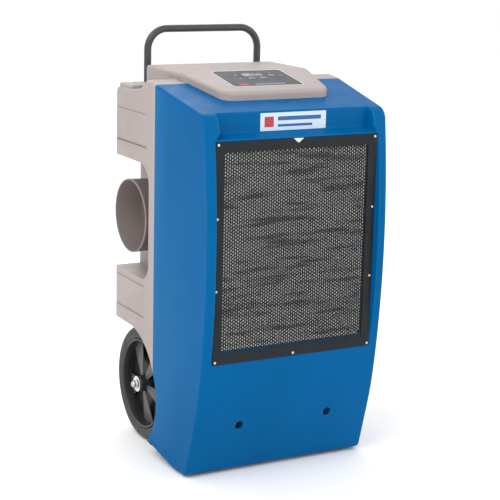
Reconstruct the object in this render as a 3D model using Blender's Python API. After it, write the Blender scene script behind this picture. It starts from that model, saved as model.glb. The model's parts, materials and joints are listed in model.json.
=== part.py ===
"""Portable commercial dehumidifier: two moulded shells on wheels, with the cooling circuit inside.

Metres, +Z up. The front faces -Y and the air outlet points to -X. The origin is on the floor,
in the middle of the bounding box.
"""

import math

import bmesh
import bpy
from mathutils import Matrix, Quaternion, Vector

GAP = 0.0003  # between two pieces that touch

# Casing
HALF_WIDTH = 0.221  # at the seam between the shells
FRONT_DRAFT = 0.0585  # half-width lost per metre towards the front
REAR_DRAFT = 0.010  # and towards the back
EDGE_RADIUS = 0.012
WALL = 0.004
SEAM_Y = -0.0145
REAR_Y = 0.188
TOP_Z = 0.802  # at the seam
TOP_SLOPE = 0.211  # fall of the front shell's top per metre forward
FRONT_Y = -0.2365  # foremost point of the rails
FRONT_Y_Z = 0.490  # and its height
FRONT_RADIUS = 1.780
FRONT_ARC_LOW = 0.200  # the rails' arc ends here
FACET_TOP = 0.110  # the flat lower facet starts here
FACET_SLOPE = 0.30
SHELL_BOTTOM = 0.005
REAR_BOTTOM = 0.045
BOTTOM_BREAK_Y = -0.105  # the underside rises behind this line
BOTTOM_RISE = 0.210
SHOULDER_RADIUS = 0.030

# Wheels
WHEEL_RADIUS = 0.127
WHEEL_Y = 0.1095
WHEEL_OUT = 0.194  # outer face of the tyre
WHEEL_WIDTH = 0.044
TYRE_BORE = 0.0985
RIM_BORE = 0.0900
ARCH_RADIUS = 0.139
INNER_HALF = 0.136  # half-width of the casing between the wheels
AXLE_RADIUS = 0.006
HUB_RADIUS = 0.017
HUB_INSIDE = 0.004  # how far the hub stands past the tyre's inner face
HUB_OUTSIDE = 0.006  # and past its outer face
SPOKE_ROOT = 0.011  # half-widths of a spoke
SPOKE_TIP = 0.024
SPOKE_THICK = 0.012
WASHER_RADIUS = 0.0175
WASHER_THICK = 0.0018
BLOCK_BOTTOM = 0.268  # underside of the rear block above the wheel
LUMP_SPANS = ((0.158, 0.186), (0.190, 0.2135))  # raised pads on top of the block, from the middle outwards
LUMP_Y = (0.120, 0.1825)
LUMP_Z = (0.7765, 0.7865)

# Grille
GRILLE_Y = -0.222  # front face
GRILLE_THICK = 0.0015
GRILLE_HALF = 0.1862
GRILLE_LOW = 0.2575
GRILLE_HIGH = 0.7115
SCREW_X = 0.181
SCREW_ROWS = (0.264, 0.411, 0.558, 0.705)
SCREW_SHANK = 0.0018

# Forehead band above the grille
BAND_Y = -0.1965
BAND_HALF = 0.176
LABEL_HALF = 0.076
LABEL_HEIGHT = 0.036
LABEL_THICK = 0.0008

# Duct
DUCT_Y = 0.107
DUCT_Z = 0.508
DUCT_RADIUS = 0.0795
DUCT_HOLE = 0.0730
RECESS_FLOOR = 0.160
RECESS_LOW = 0.382
RECESS_HIGH = 0.631
RECESS_FRONT = 0.0135

# Hood
HOOD_REAR_Y = 0.1715
HOOD_CREASE_Y = 0.014
HOOD_FRONT_Y = -0.132
HOOD_TOP = 0.8226
HOOD_FRONT_TOP = 0.7955
HOOD_REAR_HALF = 0.1545
HOOD_FRONT_HALF = 0.123
HOOD_WALL = 0.003
HOOD_ROUND = 0.006
HOOD_SLOPE = (HOOD_TOP - HOOD_FRONT_TOP) / (HOOD_CREASE_Y - HOOD_FRONT_Y)

# Control panel, along the hood's slope
PANEL_Y = -0.044
PANEL_HALF_X = 0.080
PANEL_HALF_Y = 0.053
PANEL_THICK = 0.0020
PANEL_SUNK = 0.0016
PANEL_CORNER = 0.006
BUTTON_PLACES = ((-0.014, -0.046), (0.013, -0.046), (0.041, -0.030))
BUTTON_HALF = 0.0085
BUTTON_RADIUS = 0.0045
DISPLAY_Y = -0.021
DISPLAY_HALF_X = 0.023
DISPLAY_HALF_Y = 0.0095

# Handle
HANDLE_RADIUS = 0.008
HANDLE_X = 0.136
HANDLE_Y = 0.2075
HANDLE_TOP = 0.905
HANDLE_LOW = 0.440
HANDLE_BEND = 0.045
CLAMP_ROWS = (0.500, 0.730)

# Base pan and bolts
PAN_Z = REAR_BOTTOM + WALL + GAP
PAN_THICK = 0.003
PAN_HALF = 0.131
PAN_FRONT_Y = -0.163
BOLT_X = 0.106
BOLT_Z = 0.113
BOLT_HOLE = 0.0095

PALETTE = {
    "shell_blue": ((0.014, 0.165, 0.436), 0.38, 0.0),
    "shell_tan": ((0.479, 0.402, 0.372), 0.55, 0.0),
    "panel_grey": ((0.165, 0.175, 0.190), 0.35, 0.0),
    "display": ((0.30, 0.36, 0.38), 0.12, 0.0),
    "button": ((0.45, 0.46, 0.48), 0.40, 0.0),
    "grille": ((0.030, 0.036, 0.045), 0.45, 0.4),
    "screw": ((0.72, 0.72, 0.72), 0.25, 1.0),
    "filter": ((0.62, 0.62, 0.62), 0.40, 0.9),
    "label": ((0.80, 0.84, 0.88), 0.35, 0.0),
    "handle": ((0.055, 0.062, 0.068), 0.40, 0.3),
    "clamp": ((0.030, 0.030, 0.032), 0.55, 0.0),
    "tyre": ((0.035, 0.035, 0.036), 0.75, 0.0),
    "rim": ((0.020, 0.020, 0.022), 0.40, 0.0),
    "zinc": ((0.66, 0.66, 0.64), 0.30, 1.0),
    "coil": ((0.70, 0.71, 0.72), 0.35, 0.9),
    "copper": ((0.72, 0.36, 0.20), 0.30, 1.0),
    "compressor": ((0.012, 0.012, 0.013), 0.45, 0.2),
    "galvanised": ((0.55, 0.56, 0.57), 0.40, 0.9),
    "black_plastic": ((0.025, 0.025, 0.027), 0.50, 0.0),
    "white_plastic": ((0.75, 0.75, 0.73), 0.45, 0.0),
    "board": ((0.020, 0.140, 0.050), 0.50, 0.0),
    "rubber": ((0.022, 0.022, 0.022), 0.85, 0.0),
    "brass": ((0.60, 0.42, 0.16), 0.30, 1.0),
}


# ---------------------------------------------------------------- modelling helpers


def clear_scene():
    for obj in list(bpy.data.objects):
        bpy.data.objects.remove(obj, do_unlink=True)


def material(name):
    found = bpy.data.materials.get(name)
    if found:
        return found
    colour, roughness, metallic = PALETTE[name]
    made = bpy.data.materials.new(name)
    made.use_nodes = True
    shader = made.node_tree.nodes["Principled BSDF"]
    shader.inputs["Base Color"].default_value = (*colour, 1.0)
    shader.inputs["Roughness"].default_value = roughness
    shader.inputs["Metallic"].default_value = metallic
    return made


def place(name, mesh_data, finish=None, location=(0, 0, 0), rotation=(0, 0, 0)):
    """An object for a bmesh; without a finish it is a cutter."""
    bmesh.ops.recalc_face_normals(mesh_data, faces=mesh_data.faces)
    mesh = bpy.data.meshes.new(name)
    mesh_data.to_mesh(mesh)
    mesh_data.free()
    obj = bpy.data.objects.new(name, mesh)
    bpy.context.scene.collection.objects.link(obj)
    obj.location = location
    obj.rotation_euler = rotation
    if finish:
        mesh.materials.append(material(finish))
        mesh.shade_smooth()
        mesh.set_sharp_from_angle(angle=math.radians(35))
    else:
        obj.hide_render = True
        obj.display_type = "WIRE"
    return obj


def boolean(obj, cutter, operation="DIFFERENCE"):
    modifier = obj.modifiers.new(cutter.name, "BOOLEAN")
    modifier.operation = operation
    modifier.object = cutter
    modifier.solver = "EXACT"


def box(low, high):
    mesh = bmesh.new()
    size = [h - l for l, h in zip(low, high)]
    middle = [(h + l) / 2 for l, h in zip(low, high)]
    matrix = Matrix.Translation(middle) @ Matrix.Diagonal((*size, 1))
    bmesh.ops.create_cube(mesh, size=1, matrix=matrix)
    return mesh


def bevelled_box(low, high, radius, segments=2):
    mesh = box(low, high)
    bmesh.ops.bevel(mesh, geom=mesh.edges[:], offset=radius, segments=segments, profile=0.5, affect="EDGES")
    return mesh


def prism(points, low, high, axis="X"):
    """A closed outline in the two other axes, extruded along one axis."""
    order = {"X": (2, 0, 1), "Y": (0, 2, 1), "Z": (0, 1, 2)}[axis]
    mesh = bmesh.new()
    ends = []
    for along in (low, high):
        ring = []
        for a, b in points:
            values = (a, b, along)
            ring.append(mesh.verts.new([values[i] for i in order]))
        ends.append(ring)
    mesh.faces.new(ends[0])
    mesh.faces.new(ends[1])
    count = len(points)
    for i in range(count):
        j = (i + 1) % count
        mesh.faces.new((ends[0][i], ends[0][j], ends[1][j], ends[1][i]))
    return mesh


def turned(profile, segments=32, axis="Z"):
    """A closed outline of (radius, height) points turned about an axis. A radius of 0 is on the axis."""
    quarter = math.pi / 2
    turn = {"X": Matrix.Rotation(quarter, 4, "Y"), "Y": Matrix.Rotation(-quarter, 4, "X"), "Z": Matrix()}
    mesh = bmesh.new()
    rings = []
    for radius, height in profile:
        if radius == 0:
            rings.append([mesh.verts.new((0, 0, height))] * segments)
            continue
        ring = []
        for k in range(segments):
            angle = 2 * math.pi * k / segments
            ring.append(mesh.verts.new((radius * math.cos(angle), radius * math.sin(angle), height)))
        rings.append(ring)
    for i, ring in enumerate(rings):
        following = rings[(i + 1) % len(rings)]
        if ring[0] is ring[1] and following[0] is following[1]:
            continue
        for k in range(segments):
            n = (k + 1) % segments
            corners = [ring[k], ring[n], following[n], following[k]]
            unique = list(dict.fromkeys(corners))
            mesh.faces.new(unique)
    mesh.transform(turn[axis])
    return mesh


def rod(radius, low, high, segments=16, axis="Z"):
    return turned([(0, low), (radius, low), (radius, high), (0, high)], segments, axis)


def moved(mesh, x=0.0, y=0.0, z=0.0):
    mesh.transform(Matrix.Translation((x, y, z)))
    return mesh


def rounded_rectangle(half_a, half_b, radius, steps=4):
    points = []
    corners = ((1, 1, 0), (-1, 1, 90), (-1, -1, 180), (1, -1, 270))
    for side_a, side_b, start in corners:
        for k in range(steps + 1):
            angle = math.radians(start + 90 * k / steps)
            a = side_a * (half_a - radius) + radius * math.cos(angle)
            b = side_b * (half_b - radius) + radius * math.sin(angle)
            points.append((a, b))
    return points


def arc(centre, radius, start, end, steps):
    """Points on a circle, from one angle in degrees to another."""
    points = []
    for k in range(steps + 1):
        angle = math.radians(start + (end - start) * k / steps)
        points.append((centre[0] + radius * math.cos(angle), centre[1] + radius * math.sin(angle)))
    return points


def rounded_corner(before, corner, after, radius, steps=4):
    """The arc that replaces the corner of an outline."""
    corner = Vector(corner)
    into = (Vector(before) - corner).normalized()
    out = (Vector(after) - corner).normalized()
    half = into.angle(out) / 2
    centre = corner + (into + out).normalized() * (radius / math.sin(half))
    start = corner + into * (radius / math.tan(half)) - centre
    end = corner + out * (radius / math.tan(half)) - centre
    turn = start.angle_signed(end)
    points = []
    for k in range(steps + 1):
        angle = -turn * k / steps
        x = start.x * math.cos(angle) - start.y * math.sin(angle)
        y = start.x * math.sin(angle) + start.y * math.cos(angle)
        points.append((centre.x + x, centre.y + y))
    return points


def tube_curve(name, points, radius, finish, resolution=2):
    curve = bpy.data.curves.new(name, "CURVE")
    curve.dimensions = "3D"
    curve.bevel_depth = radius
    curve.bevel_resolution = resolution
    curve.use_fill_caps = True
    spline = curve.splines.new("POLY")
    spline.points.add(len(points) - 1)
    for point, place_at in zip(spline.points, points):
        point.co = (*place_at, 1)
    obj = bpy.data.objects.new(name, curve)
    bpy.context.scene.collection.objects.link(obj)
    curve.materials.append(material(finish))
    return obj


def rounded_route(corners, radius, steps=5):
    """The corners of a route, with each inner corner turned into an arc."""
    points = [Vector(corners[0])]
    for before, corner, after in zip(corners, corners[1:], corners[2:]):
        corner = Vector(corner)
        into = (Vector(before) - corner).normalized()
        out = (Vector(after) - corner).normalized()
        half = into.angle(out) / 2
        reach = radius / math.tan(half)
        centre = corner + (into + out).normalized() * (radius / math.sin(half))
        start = corner + into * reach - centre
        end = corner + out * reach - centre
        turn = start.rotation_difference(end)
        for k in range(steps + 1):
            points.append(centre + Quaternion().slerp(turn, k / steps) @ start)
    points.append(Vector(corners[-1]))
    return points


# ---------------------------------------------------------------- shared shapes


def front_half_width(y):
    return HALF_WIDTH + FRONT_DRAFT * (y - SEAM_Y)


def rear_half_width(y):
    return HALF_WIDTH - REAR_DRAFT * (y - SEAM_Y)


def top_z(y):
    """Height of the front shell's sloping top."""
    return TOP_Z + TOP_SLOPE * (y - SEAM_Y)


def bottom_z(y):
    return SHELL_BOTTOM + BOTTOM_RISE * max(0.0, y - BOTTOM_BREAK_Y)


def front_y(z):
    """The rails' outline: an arc, a blend and a flat facet that leans back towards the floor."""
    arc_slope = (FRONT_Y_Z - FRONT_ARC_LOW) / FRONT_RADIUS
    if z >= FRONT_ARC_LOW:
        return FRONT_Y + (z - FRONT_Y_Z) ** 2 / (2 * FRONT_RADIUS)
    arc_end = FRONT_Y + (FRONT_ARC_LOW - FRONT_Y_Z) ** 2 / (2 * FRONT_RADIUS)
    blend = FRONT_ARC_LOW - FACET_TOP
    down = min(FRONT_ARC_LOW - z, blend)
    y = arc_end + arc_slope * down + (FACET_SLOPE - arc_slope) * down * down / (2 * blend)
    return y + FACET_SLOPE * max(0.0, FACET_TOP - z)


def trimmed(outline, distances):
    """The outline with each edge moved inwards by its own distance."""
    area = 0.0
    for (a, b), (c, d) in zip(outline, outline[1:] + outline[:1]):
        area += a * d - b * c
    inward = math.copysign(1, area)
    lines = []
    count = len(outline)
    for i in range(count):
        start = Vector(outline[i])
        along = (Vector(outline[(i + 1) % count]) - start).normalized()
        normal = Vector((-along.y, along.x)) * inward
        lines.append((start + normal * distances[i], along, normal))
    points = []
    for i in range(count):
        before, normal_before = lines[i - 1][0], lines[i - 1][2]
        after, along_after = lines[i][:2]
        turn = along_after.dot(normal_before)
        if abs(turn) < 0.001:
            points.append(tuple(after))
            continue
        points.append(tuple(after - along_after * ((after - before).dot(normal_before) / turn)))
    return points


def loft(outline, half_width, rounded, radius, segments):
    """The outline in Y and Z carried across to both sides, with its side edges rounded.

    rounded gives the first and last outline point of the stretch whose side edges are rounded.
    """
    rings = []
    for k in range(segments + 1):
        angle = math.radians(90 * k / segments)
        cut = radius * (1 - math.sin(angle))
        back = radius * (1 - math.cos(angle))
        distances = [cut if rounded[0] <= i < rounded[1] else 0.0 for i in range(len(outline))]
        rings.append([(half_width(y) - back, y, z) for y, z in trimmed(outline, distances)])
    rings = [[(-x, y, z) for x, y, z in ring] for ring in rings] + rings[::-1]
    mesh = bmesh.new()
    loops = [[mesh.verts.new(point) for point in ring] for ring in rings]
    mesh.faces.new(loops[0])
    mesh.faces.new(loops[-1])
    count = len(outline)
    for near, far in zip(loops, loops[1:]):
        for i in range(count):
            j = (i + 1) % count
            mesh.faces.new((near[i], near[j], far[j], far[i]))
    return mesh


def shoulder(y_front):
    """Arc between the rails and the sloping top, as (y, z) points from front to top."""
    slope_angle = math.degrees(math.atan(TOP_SLOPE))
    centre_y = y_front + SHOULDER_RADIUS
    centre_z = top_z(centre_y) - SHOULDER_RADIUS * math.hypot(1, TOP_SLOPE)
    return arc((centre_y, centre_z), SHOULDER_RADIUS, 172, 90 + slope_angle, 5)


def front_outline():
    points = [(y, bottom_z(y)) for y in (0.0095, BOTTOM_BREAK_Y)]
    heights = (0.110, 0.140, 0.170, 0.200, 0.260, 0.320, 0.380, 0.435, 0.490, 0.545, 0.600, 0.655, 0.705)
    toe = (front_y(SHELL_BOTTOM), SHELL_BOTTOM)
    points += rounded_corner(points[-1], toe, (front_y(heights[0]), heights[0]), EDGE_RADIUS + 0.003)
    points += [(front_y(z), z) for z in heights]
    points += shoulder(front_y(0.735))
    points.append((SEAM_Y, TOP_Z))
    rounded_end = len(points) - 1
    arch_top = math.degrees(math.asin((0.1898 - WHEEL_RADIUS) / ARCH_RADIUS))
    arch_low = math.degrees(math.asin((0.0290 - WHEEL_RADIUS) / ARCH_RADIUS))
    points += arc((WHEEL_Y, WHEEL_RADIUS), ARCH_RADIUS, 180 - arch_top, 180 - arch_low, 8)
    return points, (0, rounded_end)


def cavity_outline():
    rise = bottom_z(0.050) + WALL
    points = [(0.050, rise), (BOTTOM_BREAK_Y, SHELL_BOTTOM + WALL)]
    points.append((front_y(SHELL_BOTTOM + WALL) + WALL + 0.001, SHELL_BOTTOM + WALL))
    for z in (FACET_TOP, 0.160, 0.200, 0.240):
        points.append((front_y(z) + WALL + 0.001, z))
    grille_back = GRILLE_Y + GRILLE_THICK + WALL
    points.append((grille_back, 0.262))
    points.append((grille_back, GRILLE_HIGH - 0.004))
    band_back = BAND_Y + WALL
    points.append((band_back, GRILLE_HIGH + 0.006))
    points.append((band_back, top_z(band_back) - WALL - 0.001))
    points.append((0.050, top_z(0.050) - WALL - 0.001))
    return points, (0, len(points) - 1)


# ---------------------------------------------------------------- casing


def bolt_boss(name, x):
    """A blind tube behind the access hole, which the bolt head seats in."""
    outer = 0.013
    start = front_y(BOLT_Z) + 0.002
    mesh = rod(outer, start, PAN_FRONT_Y - GAP, 16, "Y")
    return place(name, moved(mesh, x=x, z=BOLT_Z))


def front_shell():
    outline, rounded = front_outline()
    shell = place("front_shell", loft(outline, front_half_width, rounded, EDGE_RADIUS, 4), "shell_blue")
    inner, inner_rounded = cavity_outline()
    hollow = loft(inner, lambda y: front_half_width(y) - WALL, inner_rounded, EDGE_RADIUS - 0.002, 2)
    boolean(shell, place("front_shell_hollow", hollow))
    for side, x in (("left", -BOLT_X), ("right", BOLT_X)):
        boolean(shell, bolt_boss(f"bolt_boss_{side}", x), "UNION")
        seat = PAN_FRONT_Y - GAP - 0.003
        hole = moved(rod(BOLT_HOLE, -0.230, seat, 20, "Y"), x=x, z=BOLT_Z)
        boolean(shell, place(f"bolt_access_{side}", hole))
        shank = moved(rod(0.0043, -0.190, -0.160, 12, "Y"), x=x, z=BOLT_Z)
        boolean(shell, place(f"bolt_clearance_{side}", shank))
    recess_half = GRILLE_HALF + 0.0012
    low = (-recess_half, -0.260, GRILLE_LOW - 0.0012)
    high = (recess_half, GRILLE_Y + GRILLE_THICK + GAP, GRILLE_HIGH + 0.0012)
    boolean(shell, place("grille_recess", box(low, high)))
    band = [(-0.260, GRILLE_HIGH), (BAND_Y - 0.014, GRILLE_HIGH), (BAND_Y, GRILLE_HIGH + 0.009)]
    band += [(BAND_Y, top_z(BAND_Y) + 0.0100), (-0.260, top_z(BAND_Y) + 0.0100)]
    boolean(shell, place("band_recess", prism(band, -BAND_HALF, BAND_HALF)))
    low = (-0.170, -0.250, 0.287)
    high = (0.170, -0.150, 0.690)
    boolean(shell, place("air_opening", box(low, high)))
    for side, x in (("left", -0.250), ("right", HALF_WIDTH)):
        trim = box((x, SEAM_Y - 0.0005, -0.010), (x + 0.029, 0.030, 0.190))
        boolean(shell, place(f"toe_trim_{side}", trim))
    for name, x, z in screw_places():
        hole = moved(rod(SCREW_SHANK + GAP, -0.230, -0.200, 8, "Y"), x=x, z=z)
        boolean(shell, place(f"{name}_hole", hole))


def rear_outline():
    crest = [(SEAM_Y + GAP, TOP_Z), (0.000, 0.8048), (0.0265, 0.8073), (0.0360, 0.8040)]
    fall = [(0.0435, 0.7985), (0.0605, 0.7885), (0.0815, 0.7820), (0.0995, 0.7790)]
    corners = [fall[-1], (REAR_Y, fall[-1][1]), (REAR_Y, REAR_BOTTOM), (SEAM_Y, REAR_BOTTOM)]
    radius = EDGE_RADIUS + 0.003
    back = rounded_corner(*corners[0:3], radius) + rounded_corner(*corners[1:4], radius)
    points = crest + fall + back + [(SEAM_Y + GAP, REAR_BOTTOM)]
    return points, (0, len(points) - 1)


def wheel_bay(grow):
    """Outline of the space cut away for a wheel, enlarged by grow."""
    radius = ARCH_RADIUS + grow
    points = arc((WHEEL_Y, WHEEL_RADIUS), radius, 195, 90, 10)
    points.append((0.260, BLOCK_BOTTOM + grow))
    points.append((0.260, -0.010))
    points.append((points[0][0], -0.010))
    return points


def recess_outline(grow):
    """Outline of the duct recess in Y and Z, open at the back, enlarged by grow."""
    low = RECESS_LOW - grow
    high = RECESS_HIGH + grow
    front = RECESS_FRONT - grow
    points = [(0.260, low)]
    points += arc((front + 0.036, low + 0.036), 0.036, 270, 180, 5)
    points += arc((front + 0.048, high - 0.048), 0.048, 180, 90, 5)
    points.append((0.260, high))
    return points


def side_cutter(name, points, sign, inner):
    low, high = sorted((sign * inner, sign * 0.260))
    return place(name, prism(points, low, high))


def rear_hollow():
    """The rear shell's inside, which stays a wall's thickness away from the bays and recesses."""
    outline = rear_outline()[0]
    inner = trimmed(outline, [WALL] * len(outline))
    for i in (0, -1):
        inner[i] = (SEAM_Y - 0.020, inner[i][1])
    mesh = loft(inner, lambda y: rear_half_width(y) - WALL, (0, len(inner) - 1), EDGE_RADIUS - WALL, 2)
    hollow = place("rear_shell_hollow", mesh)
    for side, sign in (("left", -1), ("right", 1)):
        boolean(hollow, side_cutter(f"bay_wall_{side}", wheel_bay(WALL), sign, INNER_HALF - WALL))
        boolean(hollow, side_cutter(f"recess_wall_{side}", recess_outline(WALL), sign, RECESS_FLOOR - WALL))
    return hollow


def rear_shell():
    outline, rounded = rear_outline()
    shell = place("rear_shell", loft(outline, rear_half_width, rounded, EDGE_RADIUS, 4), "shell_tan")
    boolean(shell, rear_hollow())
    for side, sign in (("left", -1), ("right", 1)):
        boolean(shell, side_cutter(f"bay_{side}", wheel_bay(0), sign, INNER_HALF))
        boolean(shell, side_cutter(f"recess_{side}", recess_outline(0), sign, RECESS_FLOOR))
        for k, span in enumerate(LUMP_SPANS):
            near, far = sorted((sign * span[0], sign * span[1]))
            lump = bevelled_box((near, LUMP_Y[0], LUMP_Z[0]), (far, LUMP_Y[1], LUMP_Z[1]), 0.003, 2)
            boolean(shell, place(f"lump_{side}_{k}", lump), "UNION")
    axle_hole = moved(rod(AXLE_RADIUS + 0.002, -0.150, 0.150, 16, "X"), y=WHEEL_Y, z=WHEEL_RADIUS)
    boolean(shell, place("axle_hole", axle_hole))
    duct_hole = moved(rod(DUCT_HOLE, -0.170, -0.150, 48, "X"), y=DUCT_Y, z=DUCT_Z)
    boolean(shell, place("duct_hole", duct_hole))
    for name, y, z, radius in (("gland_hole", 0.060, 0.430, 0.0083), ("drain_hole", 0.120, 0.430, 0.0063)):
        hole = moved(rod(radius, 0.150, 0.170, 16, "X"), y=y, z=z)
        boolean(shell, place(name, hole))


def hood_half_width(y):
    if y >= HOOD_CREASE_Y:
        return HOOD_REAR_HALF
    share = (HOOD_CREASE_Y - y) / (HOOD_CREASE_Y - HOOD_FRONT_Y)
    return HOOD_REAR_HALF + (HOOD_FRONT_HALF - HOOD_REAR_HALF) * share


def hood_outline(inset):
    """The hood's side outline. Its lower edge follows the shells, and an inset one opens downwards."""
    top = HOOD_TOP - inset
    front = HOOD_FRONT_Y + inset
    rear = HOOD_REAR_Y - inset
    points = [(rear, top), (HOOD_CREASE_Y, top), (front + HOOD_ROUND, HOOD_FRONT_TOP - inset)]
    points.append((front, HOOD_FRONT_TOP - inset - HOOD_ROUND))
    drop = 0.0 if inset == 0 else 0.040
    lower = [(front, top_z(front) + GAP - drop), (SEAM_Y, TOP_Z + GAP - drop)]
    if inset == 0:
        lower += [(0.000, 0.8051), (0.0265, 0.8077), (0.0365, 0.8044), (0.0440, 0.7990)]
        lower += [(0.0610, 0.7889), (0.0820, 0.7824), (0.0997, 0.7793)]
    lower.append((rear, 0.7793 - drop))
    return points + lower


def hood_loft(outline, shrink):
    mesh = bmesh.new()
    sides = []
    for sign in (-1, 1):
        sides.append([mesh.verts.new((sign * (hood_half_width(y) - shrink), y, z)) for y, z in outline])
    for side in sides:
        mesh.faces.new(side)
    count = len(outline)
    for i in range(count):
        j = (i + 1) % count
        mesh.faces.new((sides[0][i], sides[0][j], sides[1][j], sides[1][i]))
    return mesh


def on_slope(x, y):
    """The point of the hood's slope at this X and Y."""
    return (x, y, HOOD_TOP + HOOD_SLOPE * (y - HOOD_CREASE_Y))


SLOPE_TILT = (math.atan(HOOD_SLOPE), 0.0, 0.0)


def hood_lip_z(y):
    """The height above which the hood's side edges are rounded."""
    return HOOD_FRONT_TOP - 0.007 if y < SEAM_Y else 0.8078


def control_hood():
    mesh = hood_loft(hood_outline(0.0), 0.0)
    top_edges = []
    for edge in mesh.edges:
        on_one_side = edge.verts[0].co.x * edge.verts[1].co.x > 0
        on_top = all(v.co.z > hood_lip_z(v.co.y) for v in edge.verts)
        if on_one_side and on_top:
            top_edges.append(edge)
    bmesh.ops.bevel(mesh, geom=top_edges, offset=HOOD_ROUND, segments=3, profile=0.5, affect="EDGES")
    hood = place("control_hood", mesh, "shell_tan")
    boolean(hood, place("control_hood_hollow", hood_loft(hood_outline(HOOD_WALL), HOOD_WALL + 0.003)))
    seat_outline = rounded_rectangle(PANEL_HALF_X + GAP, PANEL_HALF_Y + GAP, PANEL_CORNER)
    seat = prism(seat_outline, -PANEL_SUNK - GAP, 0.010, "Z")
    boolean(hood, place("panel_seat", seat, None, on_slope(0, PANEL_Y), SLOPE_TILT))
    for i, (x, y) in enumerate(BUTTON_PLACES):
        slot = rounded_rectangle(BUTTON_HALF + 0.0015, BUTTON_RADIUS + 0.0015, BUTTON_RADIUS + 0.0014)
        cutter = place(f"button_slot_{i}", prism(slot, -0.010, 0.010, "Z"), None, on_slope(x, y), SLOPE_TILT)
        boolean(hood, cutter)


def control_panel():
    low = -PANEL_SUNK
    outline = rounded_rectangle(PANEL_HALF_X, PANEL_HALF_Y, PANEL_CORNER)
    top = low + PANEL_THICK
    mesh = prism(outline, low, top, "Z")
    panel = place("control_panel", mesh, "panel_grey", on_slope(0, PANEL_Y), SLOPE_TILT)
    depth = 0.0008
    pocket_outline = rounded_rectangle(DISPLAY_HALF_X + GAP, DISPLAY_HALF_Y + GAP, 0.002)
    pocket = prism(pocket_outline, top - depth, 0.010, "Z")
    boolean(panel, place("display_pocket", pocket, None, on_slope(0, DISPLAY_Y), SLOPE_TILT))
    window_outline = rounded_rectangle(DISPLAY_HALF_X, DISPLAY_HALF_Y, 0.002)
    window = prism(window_outline, top - depth + GAP, top + 0.0001, "Z")
    place("display_window", window, "display", on_slope(0, DISPLAY_Y), SLOPE_TILT)
    names = ("power_button", "lower_button", "raise_button")
    for name, (x, y) in zip(names, BUTTON_PLACES):
        slot = rounded_rectangle(BUTTON_HALF + GAP, BUTTON_RADIUS + GAP, BUTTON_RADIUS + 0.0002)
        cutter = prism(slot, -0.010, 0.010, "Z")
        boolean(panel, place(f"{name}_hole", cutter, None, on_slope(x, y), SLOPE_TILT))
        cap_outline = rounded_rectangle(BUTTON_HALF, BUTTON_RADIUS, BUTTON_RADIUS - 0.0001)
        cap = prism(cap_outline, -0.0040, 0.0012, "Z")
        place(name, cap, "button", on_slope(x, y), SLOPE_TILT)


def control_board():
    """A circuit board on four posts under the hood's slope."""
    thick = 0.0016
    depth = 0.0095
    half_x = 0.066
    half_y = 0.036
    board = place(
        "control_board",
        box((-half_x, -half_y, -depth - thick), (half_x, half_y, -depth)),
        "board",
        on_slope(0, PANEL_Y),
        SLOPE_TILT,
    )
    for i, (x, y) in enumerate(((-1, -1), (1, -1), (-1, 1), (1, 1))):
        post = rod(0.003, -depth - 0.0005, -HOOD_WALL - 0.0026, 8)
        moved(post, x * (half_x - 0.006), y * (half_y - 0.005))
        boolean(board, place(f"board_post_{i}", post, None, on_slope(0, PANEL_Y), SLOPE_TILT), "UNION")


# ---------------------------------------------------------------- grille, filter and label


def screw_places():
    places = []
    for i, z in enumerate(SCREW_ROWS):
        places.append((f"grille_screw_left_{i + 1}", -SCREW_X, z))
        places.append((f"grille_screw_right_{i + 1}", SCREW_X, z))
    places.append(("grille_screw_bottom", 0.0, SCREW_ROWS[0]))
    return places


def intake_grille():
    notch = 0.0125
    outline = [(-GRILLE_HALF, GRILLE_LOW), (GRILLE_HALF, GRILLE_LOW), (GRILLE_HALF, GRILLE_HIGH)]
    outline += [(notch, GRILLE_HIGH), (notch * 0.35, GRILLE_HIGH - 0.010)]
    outline += [(-notch * 0.35, GRILLE_HIGH - 0.010), (-notch, GRILLE_HIGH), (-GRILLE_HALF, GRILLE_HIGH)]
    grille = place("intake_grille", prism(outline, GRILLE_Y, GRILLE_Y + GRILLE_THICK, "Y"), "grille")
    columns = 13
    rows = 16
    margin = 0.0195
    hole = 0.0085
    pitch_x = 2 * (GRILLE_HALF - margin) / columns
    pitch_z = (GRILLE_HIGH - GRILLE_LOW - 2 * margin) / rows
    holes = bmesh.new()
    for i in range(columns):
        for j in range(rows):
            x = -GRILLE_HALF + margin + pitch_x * (i + 0.5)
            z = GRILLE_LOW + margin + pitch_z * (j + 0.5)
            matrix = Matrix.Translation((x, GRILLE_Y, z)) @ Matrix.Diagonal((2 * hole, 0.02, 2 * hole, 1))
            matrix = matrix @ Matrix.Rotation(math.radians(45), 4, "Y")
            bmesh.ops.create_cube(holes, size=1, matrix=matrix)
    boolean(grille, place("grille_holes", holes))
    for name, x, z in screw_places():
        hole_cutter = moved(rod(SCREW_SHANK + GAP, -0.230, -0.210, 8, "Y"), x=x, z=z)
        boolean(grille, place(f"{name}_sheet_hole", hole_cutter))


def grille_screws():
    for name, x, z in screw_places():
        face = -GAP
        profile = [(0, -0.0024), (0.0020, -0.0021), (0.0033, -0.0010), (0.0036, face)]
        profile += [(SCREW_SHANK, face), (SCREW_SHANK, 0.0090), (0, 0.0100)]
        place(name, turned(profile, 12, "Y"), "screw", (x, GRILLE_Y, z))


def air_filter():
    y = GRILLE_Y + GRILLE_THICK + WALL + 2 * GAP
    low = (-0.178, y, 0.275)
    high = (0.178, y + 0.008, 0.702)
    frame = place("air_filter", box(low, high), "filter")
    pocket = box((-0.166, y - 0.001, 0.287), (0.166, y + 0.005, 0.690))
    boolean(frame, place("filter_pocket", pocket))


def label_plate():
    z = (GRILLE_HIGH + 0.009 + top_z(BAND_Y)) / 2
    outline = [(a, b + z) for a, b in rounded_rectangle(LABEL_HALF, LABEL_HEIGHT / 2, 0.002)]
    place("label_plate", prism(outline, BAND_Y - GAP - LABEL_THICK, BAND_Y - GAP, "Y"), "label")


# ---------------------------------------------------------------- handle


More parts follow.
